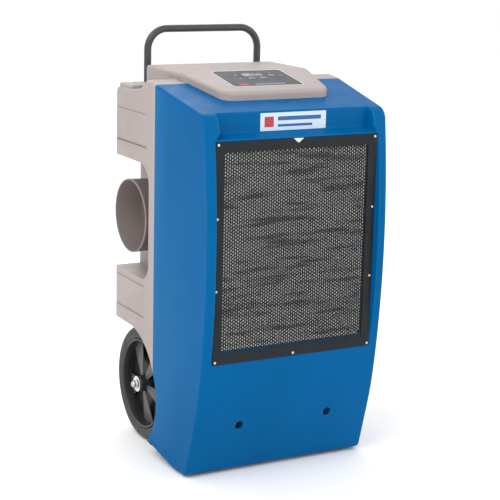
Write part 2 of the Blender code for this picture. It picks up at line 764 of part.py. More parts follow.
def handle():
    top = HANDLE_TOP - HANDLE_RADIUS
    corners = [(-HANDLE_X, HANDLE_Y, HANDLE_LOW), (-HANDLE_X, HANDLE_Y, top)]
    corners += [(HANDLE_X, HANDLE_Y, top), (HANDLE_X, HANDLE_Y, HANDLE_LOW)]
    tube_curve("handle", rounded_route(corners, HANDLE_BEND, 6), HANDLE_RADIUS, "handle", 3)


def handle_clamps():
    half = 0.018
    height = 0.012
    for side, x in (("left", -HANDLE_X), ("right", HANDLE_X)):
        for level, z in zip(("lower", "upper"), CLAMP_ROWS):
            name = f"handle_clamp_{level}_{side}"
            low = (-half, REAR_Y + GAP - HANDLE_Y, -height)
            high = (half, HANDLE_RADIUS + 0.0035, height)
            clamp = place(name, bevelled_box(low, high, 0.002, 1), "clamp", (x, HANDLE_Y, z))
            hole = rod(HANDLE_RADIUS + GAP, -0.030, 0.030, 16)
            boolean(clamp, place(f"{name}_hole", hole, None, (x, HANDLE_Y, z)))


# ---------------------------------------------------------------- wheels


def tyre(side, sign):
    half = WHEEL_WIDTH / 2
    profile = [(TYRE_BORE, -half * 0.72), (0.112, -half), (0.121, -half * 0.90)]
    profile.append((WHEEL_RADIUS - 0.0008, -half * 0.55))
    profile += [(WHEEL_RADIUS, 0.0)]
    profile += [(r, -h) for r, h in reversed(profile[:-1])]
    x = sign * (WHEEL_OUT - half)
    place(f"tyre_{side}", turned(profile, 48, "X"), "tyre", (x, WHEEL_Y, WHEEL_RADIUS))


def rim(side, sign):
    """A hub and a rim joined by five spokes."""
    half = WHEEL_WIDTH / 2
    seat = TYRE_BORE - GAP
    x = sign * (WHEEL_OUT - half)
    location = (x, WHEEL_Y, WHEEL_RADIUS)
    edge = half * 0.7
    ring = turned([(seat, -edge), (seat, edge), (RIM_BORE, edge), (RIM_BORE, -edge)], 48, "X")
    body = place(f"rim_{side}", ring, "rim", location)
    hub_low = -half - HUB_INSIDE
    hub_high = half + HUB_OUTSIDE
    hub = rod(HUB_RADIUS, hub_low, hub_high, 24, "X")
    hub.transform(Matrix.Diagonal((sign, 1, 1, 1)))
    boolean(body, place(f"hub_{side}", hub, None, location), "UNION")
    spokes = 5
    for k in range(spokes):
        angle = 2 * math.pi * k / spokes
        outline = [(0.010, -SPOKE_ROOT), (0.094, -SPOKE_TIP), (0.094, SPOKE_TIP), (0.010, SPOKE_ROOT)]
        spoke = prism(outline, -SPOKE_THICK / 2, SPOKE_THICK / 2, "Z")
        spoke.transform(Matrix.Rotation(math.pi / 2, 4, "Y"))
        spoke.transform(Matrix.Rotation(angle, 4, "X"))
        boolean(body, place(f"spoke_{side}_{k}", spoke, None, location), "UNION")
    bore = rod(AXLE_RADIUS + GAP, -0.050, 0.050, 16, "X")
    boolean(body, place(f"rim_bore_{side}", bore, None, location))


def wheels():
    half = WHEEL_WIDTH / 2
    hub_out = WHEEL_OUT + HUB_OUTSIDE
    hub_in = WHEEL_OUT - 2 * half - HUB_INSIDE
    for side, sign in (("left", -1), ("right", 1)):
        tyre(side, sign)
        rim(side, sign)
        bore = AXLE_RADIUS + GAP
        washer_profile = [(bore, 0), (WASHER_RADIUS, 0), (WASHER_RADIUS, WASHER_THICK), (bore, WASHER_THICK)]
        washer = turned(washer_profile, 32, "X")
        washer.transform(Matrix.Diagonal((sign, 1, 1, 1)))
        place(f"hub_washer_{side}", washer, "zinc", (sign * (hub_out + GAP), WHEEL_Y, WHEEL_RADIUS))
        start = hub_out + WASHER_THICK + 2 * GAP
        cap = [(bore, 0), (0.0078, 0), (0.0078, 0.0070), (0.0052, 0.0105)]
        cap += [(0, 0.0120), (0, 0.0085), (bore, 0.0085)]
        mesh = turned(cap, 20, "X")
        mesh.transform(Matrix.Diagonal((sign, 1, 1, 1)))
        place(f"axle_cap_{side}", mesh, "zinc", (sign * start, WHEEL_Y, WHEEL_RADIUS))
        low = INNER_HALF + GAP
        high = hub_in - GAP
        spacer = [(bore, low), (0.011, low), (0.011, high), (bore, high)]
        mesh = turned(spacer, 20, "X")
        mesh.transform(Matrix.Diagonal((sign, 1, 1, 1)))
        place(f"wheel_spacer_{side}", mesh, "white_plastic", (0, WHEEL_Y, WHEEL_RADIUS))
    end = hub_out + WASHER_THICK + 2 * GAP + 0.0080
    place("axle", rod(AXLE_RADIUS, -end, end, 16, "X"), "zinc", (0, WHEEL_Y, WHEEL_RADIUS))


def arch_liners():
    """Curved walls that close the front shell's inside off from the wheels."""
    inner = ARCH_RADIUS + GAP
    outer = inner + 0.003
    centre = (WHEEL_Y, WHEEL_RADIUS)
    outline = arc(centre, inner, 155, 220, 8) + arc(centre, outer, 220, 155, 8)
    for side, sign in (("left", -1), ("right", 1)):
        low, high = sorted((sign * (INNER_HALF + GAP), sign * 0.2150))
        place(f"arch_liner_{side}", prism(outline, low, high), "black_plastic")


def front_feet():
    for side, x in (("left", -0.150), ("right", 0.150)):
        low = (x - 0.032, -0.143, 0.0)
        high = (x + 0.032, -0.113, SHELL_BOTTOM - GAP)
        place(f"front_foot_{side}", bevelled_box(low, high, 0.001, 1), "rubber")


# ---------------------------------------------------------------- base


def base_pan():
    low = (-PAN_HALF, PAN_FRONT_Y, PAN_Z)
    high = (PAN_HALF, 0.171, PAN_Z + PAN_THICK)
    pan = place("base_pan", box(low, high), "galvanised")
    flange = box((-PAN_HALF, PAN_FRONT_Y, PAN_Z + 0.001), (PAN_HALF, PAN_FRONT_Y + 0.003, 0.135))
    boolean(pan, place("pan_flange", flange), "UNION")
    for side, x in (("left", -0.1285), ("right", 0.1285)):
        ear = box((x - 0.0025, WHEEL_Y - 0.025, PAN_Z + 0.001), (x + 0.0025, WHEEL_Y + 0.025, 0.150))
        boolean(pan, place(f"axle_ear_{side}", ear), "UNION")
        hole = moved(rod(0.0043, -0.190, -0.160, 12, "Y"), x=math.copysign(BOLT_X, x), z=BOLT_Z)
        boolean(pan, place(f"pan_bolt_hole_{side}", hole))
    axle_hole = moved(rod(AXLE_RADIUS + GAP, -0.150, 0.150, 16, "X"), y=WHEEL_Y, z=WHEEL_RADIUS)
    boolean(pan, place("pan_axle_hole", axle_hole))


def shell_bolts():
    seat = PAN_FRONT_Y - GAP - 0.003
    for side, x in (("left", -BOLT_X), ("right", BOLT_X)):
        head = prism(arc((0, 0), 0.0072, 0, 300, 5), seat - GAP - 0.005, seat - GAP, "Y")
        bolt = place(f"shell_bolt_{side}", head, "screw", (x, 0, BOLT_Z))
        shank = place(f"bolt_shank_{side}", rod(0.0040, seat - 0.003, -0.158, 12, "Y"), None, (x, 0, BOLT_Z))
        boolean(bolt, shank, "UNION")


# ---------------------------------------------------------------- cooling circuit


def coil(name, y, depth):
    """A finned block with end plates and return bends at its sides."""
    half = 0.158
    low_z = 0.285
    high_z = 0.690
    block = place(name, box((-half, y, low_z), (half, y + depth, high_z)), "coil")
    bends = 6
    for k in range(bends):
        z = low_z + 0.030 + k * (high_z - low_z - 0.060) / (bends - 1)
        bar = box((-half - 0.014, y + depth * 0.35, z - 0.004), (half + 0.014, y + depth * 0.65, z + 0.004))
        boolean(block, place(f"{name}_bend_{k}", bar), "UNION")


def drip_tray():
    low = (-0.176, -0.205, 0.2620)
    high = (0.176, -0.100, 0.2840)
    tray = place("drip_tray", box(low, high), "white_plastic")
    inside = box((-0.173, -0.202, 0.2650), (0.173, -0.103, 0.3000))
    boolean(tray, place("drip_tray_inside", inside))
    spout = moved(rod(0.007, 0.245, 0.2635, 12), x=0.080, y=-0.120)
    boolean(tray, place("drip_spout", spout), "UNION")
    drain = moved(rod(0.005, 0.230, 0.270, 12), x=0.080, y=-0.120)
    boolean(tray, place("drip_drain", drain))


def compressor():
    base = PAN_Z + PAN_THICK + GAP
    centre = (-0.045, -0.035)
    profile = [(0, 0.010), (0.058, 0.010), (0.068, 0.022), (0.070, 0.060), (0.070, 0.130), (0.064, 0.158)]
    profile += [(0.045, 0.172), (0, 0.177)]
    can = place("compressor", turned(profile, 32), "compressor", (*centre, base))
    for k in range(3):
        angle = math.radians(90 + 120 * k)
        foot = rod(0.014, 0.0, 0.016, 12)
        moved(foot, 0.062 * math.cos(angle), 0.062 * math.sin(angle))
        boolean(can, place(f"compressor_foot_{k}", foot, None, (*centre, base)), "UNION")


def pipes():
    top = PAN_Z + PAN_THICK + GAP + 0.177 + 0.001
    suction = [(-0.045, -0.055, top), (-0.045, -0.055, 0.246), (-0.190, -0.070, 0.246)]
    suction += [(-0.190, -0.070, 0.600), (-0.190, -0.172, 0.600), (-0.1745, -0.172, 0.600)]
    tube_curve("suction_pipe", rounded_route(suction, 0.010, 3), 0.004, "copper", 1)
    discharge = [(-0.045, -0.015, top), (-0.045, -0.015, 0.256), (0.190, -0.050, 0.256)]
    discharge += [(0.190, -0.050, 0.600), (0.190, -0.122, 0.600), (0.1745, -0.122, 0.600)]
    tube_curve("discharge_pipe", rounded_route(discharge, 0.010, 3), 0.004, "copper", 1)


# ---------------------------------------------------------------- fan

FAN_X = 0.020
FAN_Z = 0.485
FAN_FRONT = 0.040
FAN_BACK = 0.150


def fan_scroll():
    wall = 0.002
    outer = place("fan_scroll", rod(0.124, FAN_FRONT, FAN_BACK, 32, "Y"), "black_plastic", (FAN_X, 0, FAN_Z))
    outlet_low = (-0.149, FAN_FRONT, DUCT_Z - 0.075)
    outlet = box(outlet_low, (FAN_X, FAN_BACK, DUCT_Z + 0.075))
    boolean(outer, place("scroll_outlet", outlet), "UNION")
    inside = rod(0.124 - wall, FAN_FRONT + wall, FAN_BACK - wall, 32, "Y")
    boolean(outer, place("scroll_inside", inside, None, (FAN_X, 0, FAN_Z)))
    low = (-0.160, FAN_FRONT + wall, DUCT_Z - 0.075 + wall)
    high = (FAN_X, FAN_BACK - wall, DUCT_Z + 0.075 - wall)
    boolean(outer, place("scroll_outlet_inside", box(low, high)))
    inlet = rod(0.070, FAN_FRONT - 0.010, FAN_FRONT + 0.010, 32, "Y")
    boolean(outer, place("scroll_inlet", inlet, None, (FAN_X, 0, FAN_Z)))
    shaft = rod(0.012, FAN_BACK - 0.010, FAN_BACK + 0.010, 16, "Y")
    boolean(outer, place("scroll_shaft_hole", shaft, None, (FAN_X, 0, FAN_Z)))


def fan_impeller():
    blades = 14
    outline = []
    for k in range(blades):
        start = 360 * k / blades
        for radius, offset in ((0.040, 0.0), (0.092, 9.0), (0.092, 12.0), (0.040, 6.0)):
            angle = math.radians(start + offset)
            outline.append((radius * math.cos(angle), radius * math.sin(angle)))
    wheel = place("fan_impeller", prism(outline, 0.045, 0.140, "Y"), "black_plastic", (FAN_X, 0, FAN_Z))
    disc = rod(0.093, 0.136, 0.140, 32, "Y")
    boolean(wheel, place("impeller_disc", disc, None, (FAN_X, 0, FAN_Z)), "UNION")
    bore = rod(0.0053, 0.020, 0.160, 16, "Y")
    boolean(wheel, place("impeller_bore", bore, None, (FAN_X, 0, FAN_Z)))


def fan_motor():
    profile = [(0, 0.0600), (0.0050, 0.0600), (0.0050, FAN_BACK + 0.0015), (0.042, FAN_BACK + 0.0015)]
    profile += [(0.045, FAN_BACK + 0.005), (0.045, 0.1780), (0.042, 0.1815), (0, 0.1815)]
    place("fan_motor", turned(profile, 32, "Y"), "compressor", (FAN_X, 0, FAN_Z))


def duct_collar():
    """A slightly flared tube whose neck goes through the recess wall."""
    mouth = HALF_WIDTH
    seat = RECESS_FLOOR + GAP
    wall = 0.003
    at_root = DUCT_RADIUS - 0.0028
    neck = DUCT_HOLE - GAP
    profile = [(DUCT_RADIUS - wall, mouth), (DUCT_RADIUS, mouth), (at_root, seat), (neck, seat)]
    profile += [(neck, RECESS_FLOOR - WALL - 0.001), (neck - 0.0025, RECESS_FLOOR - WALL - 0.001)]
    mesh = turned(profile, 48, "X")
    mesh.transform(Matrix.Diagonal((-1, 1, 1, 1)))
    place("duct_collar", mesh, "shell_tan", (0, DUCT_Y, DUCT_Z))


# ---------------------------------------------------------------- pump and fittings

PUMP_X = 0.080
PUMP_Y = -0.110
PUMP_BASE = PAN_Z + PAN_THICK + GAP


def condensate_pump():
    low = (PUMP_X - 0.042, PUMP_Y - 0.040, PUMP_BASE)
    high = (PUMP_X + 0.042, PUMP_Y + 0.040, PUMP_BASE + 0.050)
    tank = place("pump_reservoir", box(low, high), "white_plastic")
    inside = box((low[0] + 0.002, low[1] + 0.002, low[2] + 0.002), (high[0] - 0.002, high[1] - 0.002, 0.200))
    boolean(tank, place("pump_reservoir_inside", inside))
    head_z = high[2] + GAP
    head = place(
        "condensate_pump",
        bevelled_box((low[0], low[1], head_z), (PUMP_X + 0.006, high[1], head_z + 0.040), 0.003, 1),
        "black_plastic",
    )
    lug_x = PUMP_X - 0.004
    lug_low = (lug_x - 0.004, PUMP_Y - 0.009, head_z - 0.020)
    lug = box(lug_low, (lug_x + 0.004, PUMP_Y + 0.009, head_z + 0.002))
    boolean(head, place("float_lug", lug), "UNION")
    slot_low = (lug_x - 0.006, PUMP_Y - 0.005, head_z - 0.030)
    slot = box(slot_low, (lug_x + 0.006, PUMP_Y + 0.005, head_z - 0.0006))
    boolean(head, place("float_lug_slot", slot))
    pin_z = head_z - 0.014
    hole = moved(rod(0.0018, -0.030, 0.030, 10, "Y"), x=lug_x, y=PUMP_Y, z=pin_z)
    boolean(head, place("float_pin_hole", hole))
    arm = place("pump_float", rod(0.0015, -0.0085, 0.0085, 10, "Y"), "white_plastic", (lug_x, PUMP_Y, pin_z))
    bar = box((-0.002, -0.0035, -0.002), (0.024, 0.0035, 0.002))
    bar = place("float_arm", bar, None, (lug_x, PUMP_Y, pin_z))
    boolean(arm, bar, "UNION")
    bulb = moved(rod(0.0085, -0.018, 0.006, 16), x=0.028)
    boolean(arm, place("float_bulb", bulb, None, (lug_x, PUMP_Y, pin_z)), "UNION")


def fittings():
    """The mains cable gland and the drain hose fitting, both on the right recess's wall."""
    face = RECESS_FLOOR + GAP
    inside = 0.140
    gland_at = (0, 0.060, 0.430)
    nut = prism(arc((0, 0), 0.0135, 0, 300, 5), face, face + 0.006)
    gland = place("cable_gland", nut, "black_plastic", gland_at)
    profile = [(0, inside), (0.0080, inside), (0.0080, face + 0.001), (0.0115, face + 0.004)]
    profile += [(0.0110, face + 0.018), (0.0080, face + 0.024), (0, face + 0.024)]
    boolean(gland, place("gland_dome", turned(profile, 24, "X"), None, gland_at), "UNION")
    cord_way = rod(0.0042, inside - 0.010, face + 0.040, 12, "X")
    boolean(gland, place("gland_bore", cord_way, None, gland_at))
    bore = 0.0040
    barb = 0.0072  # the two ridges that hold the hose
    profile = [(bore, inside), (0.0060, inside), (0.0060, face), (0.0110, face), (0.0110, face + 0.005)]
    profile += [(0.0062, face + 0.006), (0.0062, face + 0.012), (barb, face + 0.013)]
    profile += [(0.0062, face + 0.018), (barb, face + 0.019), (0.0060, face + 0.026), (bore, face + 0.026)]
    place("drain_fitting", turned(profile, 24, "X"), "brass", (0, 0.120, 0.430))


def main():
    clear_scene()
    front_shell()
    rear_shell()
    control_hood()
    control_panel()
    control_board()
    intake_grille()
    grille_screws()
    air_filter()
    label_plate()
    handle()
    handle_clamps()
    wheels()
    arch_liners()
    front_feet()
    base_pan()
    shell_bolts()
    coil("evaporator_coil", -0.196, 0.040)
    coil("condenser_coil", -0.150, 0.040)
    drip_tray()
    compressor()
    pipes()
    fan_scroll()
    fan_impeller()
    fan_motor()
    duct_collar()
    condensate_pump()
    fittings()


main()
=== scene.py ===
"""Looks of the portable commercial dehumidifier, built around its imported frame."""

import json
import math

import bmesh
import bpy
from mathutils import Matrix, Vector


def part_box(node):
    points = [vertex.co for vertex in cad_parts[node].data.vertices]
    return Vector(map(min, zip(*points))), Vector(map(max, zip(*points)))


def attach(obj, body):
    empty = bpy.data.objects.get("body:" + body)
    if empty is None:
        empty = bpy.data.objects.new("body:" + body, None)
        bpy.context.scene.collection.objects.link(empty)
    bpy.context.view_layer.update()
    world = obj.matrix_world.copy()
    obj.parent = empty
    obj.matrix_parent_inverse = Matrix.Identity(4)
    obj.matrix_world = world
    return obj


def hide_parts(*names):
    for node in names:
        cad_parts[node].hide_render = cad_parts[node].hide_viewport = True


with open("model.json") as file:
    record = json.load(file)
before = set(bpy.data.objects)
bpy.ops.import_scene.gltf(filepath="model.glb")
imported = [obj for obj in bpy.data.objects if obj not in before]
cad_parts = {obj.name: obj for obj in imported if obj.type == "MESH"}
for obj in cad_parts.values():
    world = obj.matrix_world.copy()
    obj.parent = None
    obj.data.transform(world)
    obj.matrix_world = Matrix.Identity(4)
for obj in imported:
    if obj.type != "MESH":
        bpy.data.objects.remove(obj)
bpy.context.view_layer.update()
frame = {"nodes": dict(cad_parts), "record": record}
NODES = frame["nodes"]

# ---------------------------------------------------------------- sizes

HALF_WIDTH = 0.221
FRONT_DRAFT = 0.0585
REAR_DRAFT = 0.010
SEAM_Y = -0.0145
REAR_Y = 0.188
TOP_Z = 0.802
TOP_SLOPE = 0.211
FRONT_Y = -0.2365
FRONT_Y_Z = 0.490
FRONT_RADIUS = 1.780
FRONT_ARC_LOW = 0.200
FACET_TOP = 0.110
FACET_SLOPE = 0.30
SHELL_BOTTOM = 0.005
REAR_BOTTOM = 0.045
BOTTOM_BREAK_Y = -0.105
BOTTOM_RISE = 0.210
SHOULDER_RADIUS = 0.030
SIDE_ROUND = 0.0055
WALL = 0.0035

WHEEL_RADIUS = 0.127
WHEEL_Y = 0.1095
WHEEL_OUT = 0.194
WHEEL_WIDTH = 0.044
ARCH_RADIUS = 0.139
ARCH_TOP_Z = 0.1898
ARCH_LOW_Z = 0.0290
INNER_HALF = 0.136
BLOCK_BOTTOM = 0.268
LUMP_SPANS = ((0.158, 0.186), (0.190, 0.2135))
LUMP_Y = (0.120, 0.1825)
LUMP_Z = (0.7765, 0.7865)
BEAD_Y = (0.030, 0.183)
BEAD_Z = (0.6605, 0.6640)
FITTING_Z = 0.430
FITTING_HOLES = ((0.060, 0.0083), (0.120, 0.0063))
AXLE_HOLE_RADIUS = 0.008

GRILLE_Y = -0.222
GRILLE_THICK = 0.0015
GRILLE_HALF = 0.1862
GRILLE_LOW = 0.2585
GRILLE_HIGH = 0.7105
BAND_Y = -0.1965
BAND_HALF = 0.1765
LEDGE_TOP = 0.7225
RECESS_SLANT = 0.0030
OPENING_HALF = 0.172
OPENING_LOW = 0.2855
OPENING_HIGH = 0.690
SEAT_REACH = 0.004
BOLT_X = 0.106
BOLT_Z = 0.113
ACCESS_RADIUS = 0.0095

DUCT_Y = 0.107
DUCT_Z = 0.508
DUCT_RADIUS = 0.0795
RECESS_FLOOR = 0.160
RECESS_LOW = 0.382
RECESS_HIGH = 0.631
RECESS_FRONT = 0.0135
RECESS_LOW_ROUND = 0.036
RECESS_HIGH_ROUND = 0.048
CLEAR_OF_SIDE = 0.260
CLEAR_OF_BACK = 0.260

HOOD_REAR_Y = 0.1715
HOOD_CREASE_Y = 0.014
HOOD_FRONT_Y = -0.132
HOOD_TOP = 0.8226
HOOD_FRONT_TOP = 0.7955
HOOD_REAR_HALF = 0.1545
HOOD_FRONT_HALF = 0.123
HOOD_CORNER = 0.020
HOOD_EDGE_ROUND = 0.0065
HOOD_LIP = 0.008
HOOD_SLOPE = (HOOD_TOP - HOOD_FRONT_TOP) / (HOOD_CREASE_Y - HOOD_FRONT_Y)
SLOPE_ANGLE = math.atan(HOOD_SLOPE)
PANEL_Y = -0.044
PANEL_HALF_X = 0.080
PANEL_HALF_Y = 0.053
KEY_HALF_X = 0.0085
KEY_HALF_Y = 0.0045
KEYS = (
    ("power_button", "power_key", -0.014, -0.046),
    ("lower_button", "lower_key", 0.013, -0.046),
    ("raise_button", "raise_key", 0.041, -0.030),
)
WINDOW_Y = -0.021
WINDOW_HALF_X = 0.0230
WINDOW_HALF_Y = 0.0095


# ---------------------------------------------------------------- materials


class Shader:
    """A small helper for one Principled material and the nodes that feed it."""

    def __init__(self, name, colour, roughness, metallic=0.0, gloss=0.5):
        self.material = bpy.data.materials.new(name)
        self.material.use_nodes = True
        self.tree = self.material.node_tree
        self.out = self.tree.nodes["Principled BSDF"]
        self.colour = colour
        self.out.inputs["Base Color"].default_value = (*colour, 1)
        self.out.inputs["Roughness"].default_value = roughness
        self.out.inputs["Metallic"].default_value = metallic
        self.out.inputs["Specular IOR Level"].default_value = gloss
        self.roughness = roughness
        self.coordinates = self.add("ShaderNodeTexCoord").outputs["Object"]
        self.normal = None

    def add(self, kind, **settings):
        node = self.tree.nodes.new(kind)
        for key, value in settings.items():
            setattr(node, key, value)
        return node

    def link(self, a, b):
        self.tree.links.new(a, b)

    def noise(self, scale, detail=3.0, stretch=(1, 1, 1), rough=0.5):
        mapping = self.add("ShaderNodeMapping")
        mapping.inputs["Scale"].default_value = stretch
        self.link(self.coordinates, mapping.inputs["Vector"])
        noise = self.add("ShaderNodeTexNoise")
        noise.inputs["Scale"].default_value = scale
        noise.inputs["Detail"].default_value = detail
        noise.inputs["Roughness"].default_value = rough
        self.link(mapping.outputs["Vector"], noise.inputs["Vector"])
        return noise.outputs["Fac"]

    def ramp(self, fac, low, high, low_at=0.35, high_at=0.65):
        """fac turned into a colour between two colours."""
        ramp = self.add("ShaderNodeValToRGB")
        ramp.color_ramp.elements[0].position = low_at
        ramp.color_ramp.elements[1].position = high_at
        ramp.color_ramp.elements[0].color = (*low, 1)
        ramp.color_ramp.elements[1].color = (*high, 1)
        self.link(fac, ramp.inputs["Fac"])
        return ramp.outputs["Color"]

    def range(self, fac, low, high, from_low=0.3, from_high=0.7):
        node = self.add("ShaderNodeMapRange")
        node.inputs["From Min"].default_value = from_low
        node.inputs["From Max"].default_value = from_high
        node.inputs["To Min"].default_value = low
        node.inputs["To Max"].default_value = high
        self.link(fac, node.inputs["Value"])
        return node.outputs["Result"]

    def vary_colour(self, scale, amount, detail=3.0, stretch=(1, 1, 1)):
        low = [c * (1 - amount) for c in self.colour]
        high = [min(1, c * (1 + amount)) for c in self.colour]
        colour = self.ramp(self.noise(scale, detail, stretch), low, high)
        self.link(colour, self.out.inputs["Base Color"])
        return colour

    def vary_roughness(self, scale, amount, detail=4.0, stretch=(1, 1, 1)):
        fac = self.noise(scale, detail, stretch)
        rough = self.range(fac, self.roughness - amount, self.roughness + amount)
        self.link(rough, self.out.inputs["Roughness"])

    def round_edges(self, radius):
        """Small edges catch the light as moulded ones do."""
        bevel = self.add("ShaderNodeBevel", samples=6)
        bevel.inputs["Radius"].default_value = radius
        self.normal = bevel.outputs["Normal"]
        self.link(self.normal, self.out.inputs["Normal"])

    def bump(self, fac, distance, strength=1.0):
        node = self.add("ShaderNodeBump")
        node.inputs["Strength"].default_value = strength
        node.inputs["Distance"].default_value = distance
        self.link(fac, node.inputs["Height"])
        if self.normal is not None:
            self.link(self.normal, node.inputs["Normal"])
        self.normal = node.outputs["Normal"]
        self.link(self.normal, self.out.inputs["Normal"])

    def painted_edge_highlight(self, base, highlight_tint, amount=0.5):
        """A painted highlight: a paler tone along the edges, from the mesh's pointiness, where they would
        catch the light.
        """
        geometry = self.add("ShaderNodeNewGeometry")
        edge = self.range(geometry.outputs["Pointiness"], 0.0, amount, 0.52, 0.62)
        mix = self.add("ShaderNodeMix", data_type="RGBA")
        self.link(edge, mix.inputs["Factor"])
        self.link(base, mix.inputs["A"])
        mix.inputs["B"].default_value = (*highlight_tint, 1)
        self.link(mix.outputs["Result"], self.out.inputs["Base Color"])


def moulded(
    name, colour, roughness, grain=900.0, depth=0.00005, vary=0.05, edge=0.0012, highlight_tint=None, gloss=0.4
):
    """Moulded plastic: faint flow marks, a fine grain, and edges that catch the light; given a tint, the
    edges also get a painted highlight.
    """
    shader = Shader(name, colour, roughness, 0.0, gloss)
    base = shader.vary_colour(7.0, vary, 4.0, (1, 1, 0.4))
    shader.vary_roughness(30.0, 0.06)
    shader.round_edges(edge)
    shader.bump(shader.noise(grain, 2.0), depth, 0.6)
    # A painted highlight along the edges, paled towards the given colour.
    if highlight_tint:
        shader.painted_edge_highlight(base, highlight_tint, 0.45)
    return shader.material


def metal(name, colour, roughness, stretch=(1, 1, 1), grain=400.0, depth=0.00002):
    shader = Shader(name, colour, roughness, 1.0)
    shader.vary_colour(60.0, 0.12, 3.0, stretch)
    shader.vary_roughness(180.0, 0.10, 3.0, stretch)
    shader.bump(shader.noise(grain, 2.0, stretch), depth, 0.7)
    return shader.material


# The second colour in BLUE and TAN is a painted highlight along their edges.
BLUE = moulded(
    "shell_blue", (0.000, 0.096, 0.268), 0.34, 1100.0, 0.00004, 0.05, 0.0016, (0.03, 0.20, 0.42), 0.04
)
TAN = moulded(
    "shell_tan", (0.340, 0.293, 0.281), 0.52, 700.0, 0.00010, 0.03, 0.0016, (0.46, 0.41, 0.39), 0.30
)
PANEL = moulded("panel_grey", (0.066, 0.070, 0.078), 0.40, 1600.0, 0.00002, 0.06, 0.0004, None, 0.08)
BUTTON = moulded("button", (0.20, 0.21, 0.23), 0.42, 1500.0, 0.00003, 0.06, 0.0004, None, 0.15)
# The second colour in COLLAR is a painted highlight along its rim and edges.
COLLAR = moulded(
    "collar_tan", (0.178, 0.148, 0.138), 0.50, 700.0, 0.00010, 0.04, 0.0012, (0.55, 0.48, 0.45), 0.25
)
BLACK_PLASTIC = moulded("black_plastic", (0.014, 0.014, 0.015), 0.42, 900.0, 0.00005, 0.15, 0.0010)
# The second colour in SPOKE and RIM is a painted highlight along their edges.
SPOKE = moulded(
    "spoke_black", (0.042, 0.041, 0.041), 0.40, 900.0, 0.00004, 0.15, 0.0012, (0.14, 0.14, 0.15)
)
RIM = moulded("rim_black", (0.018, 0.019, 0.021), 0.33, 900.0, 0.00004, 0.15, 0.0012, (0.10, 0.10, 0.11))
WHITE_PLASTIC = moulded("white_plastic", (0.66, 0.66, 0.64), 0.45)
LABEL = moulded("label", (0.52, 0.62, 0.72), 0.35, 1600.0, 0.00001, 0.03, 0.0003)
LABEL_BLUE = moulded("label_blue", (0.020, 0.090, 0.280), 0.35, 1600.0, 0.00001, 0.03, 0.0003)
LABEL_RED = moulded("label_red", (0.420, 0.030, 0.050), 0.35, 1600.0, 0.00001, 0.03, 0.0003)
ZINC = metal("zinc", (0.66, 0.65, 0.62), 0.26)
SCREW = metal("screw", (0.56, 0.57, 0.58), 0.30)
COPPER = metal("copper", (0.72, 0.36, 0.20), 0.30)
BRASS = metal("brass", (0.62, 0.45, 0.18), 0.28)
GALVANISED = metal("galvanised", (0.52, 0.53, 0.54), 0.38, grain=60.0)
COIL = metal("coil_fins", (0.62, 0.63, 0.64), 0.38, (40, 1, 1), 30.0, 0.0003)


def tyre_material():
    shader = Shader("tyre_rubber", (0.048, 0.048, 0.049), 0.72)
    base = shader.vary_colour(45.0, 0.25, 5.0)
    shader.vary_roughness(120.0, 0.08)
    shader.round_edges(0.0010)
    shader.bump(shader.noise(1400.0, 3.0), 0.00012, 0.7)
    # A painted highlight: a paler ring along the tyre's edges.
    shader.painted_edge_highlight(base, (0.100, 0.098, 0.096), 0.5)
    return shader.material


def coated(name, colour, roughness, edge=0.0004, gloss=0.4):
    """Powder-coated steel: a fine orange peel."""
    shader = Shader(name, colour, roughness, 0.0, gloss)
    shader.vary_colour(25.0, 0.10, 4.0)
    shader.vary_roughness(60.0, 0.07)
    shader.round_edges(edge)
    shader.bump(shader.noise(850.0, 2.0), 0.00008, 0.5)
    return shader.material


TYRE = tyre_material()
HANDLE = coated("handle_coat", (0.040, 0.045, 0.050), 0.30)
GRILLE = coated("grille_coat", (0.014, 0.017, 0.020), 0.45, 0.0004, 0.15)
COMPRESSOR = coated("compressor_enamel", (0.012, 0.012, 0.013), 0.30)


def filter_material():
    """Crimped aluminium mesh, dulled in faint level streaks."""
    shader = Shader("filter_mesh", (0.50, 0.48, 0.45), 0.45, 0.0, 0.3)
    streaks = shader.noise(26.0, 3.0, (0.35, 1, 3.2), 0.6)
    colour = shader.ramp(streaks, (0.30, 0.290, 0.275), (0.95, 0.92, 0.87), 0.36, 0.50)
    shader.link(colour, shader.out.inputs["Base Color"])
    shader.bump(shader.noise(500.0, 2.0), 0.0003, 0.8)
    shader.vary_roughness(200.0, 0.1)
    return shader.material


def display_material():
    shader = Shader("display_glass", (0.19, 0.22, 0.23), 0.25, 0.0, 0.15)
    shader.vary_colour(20.0, 0.08)
    shader.vary_roughness(40.0, 0.04)
    return shader.material


def board_material():
    shader = Shader("circuit_board", (0.02, 0.14, 0.05), 0.45)
    shader.vary_colour(300.0, 0.5, 1.0)
    shader.vary_roughness(200.0, 0.1)
    return shader.material


FILTER = filter_material()
DISPLAY = display_material()
BOARD = board_material()


# ---------------------------------------------------------------- mesh helpers


def linked(name, data):
    obj = bpy.data.objects.new(name, data)
    bpy.context.scene.collection.objects.link(obj)
    return obj


def cutter(name, mesh_data, recalc=True):
    """An object made from the bmesh, with no finish."""
    if recalc:
        bmesh.ops.recalc_face_normals(mesh_data, faces=mesh_data.faces)
    mesh = bpy.data.meshes.new(name)
    mesh_data.to_mesh(mesh)
    mesh_data.free()
    return linked(name, mesh)


def piece(name, mesh_data, finish, body="chassis", smooth=35.0, recalc=True):
    obj = cutter(name, mesh_data, recalc)
    obj.data.materials.append(finish)
    obj.data.shade_smooth()
    obj.data.set_sharp_from_angle(angle=math.radians(smooth))
    if body:
        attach(obj, body)
    return obj


def dress(obj, node=None, body=None):
    """Puts the piece on its body, and hides the node that it stands for."""
    if body:
        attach(obj, body)
    if node:
        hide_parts(node)


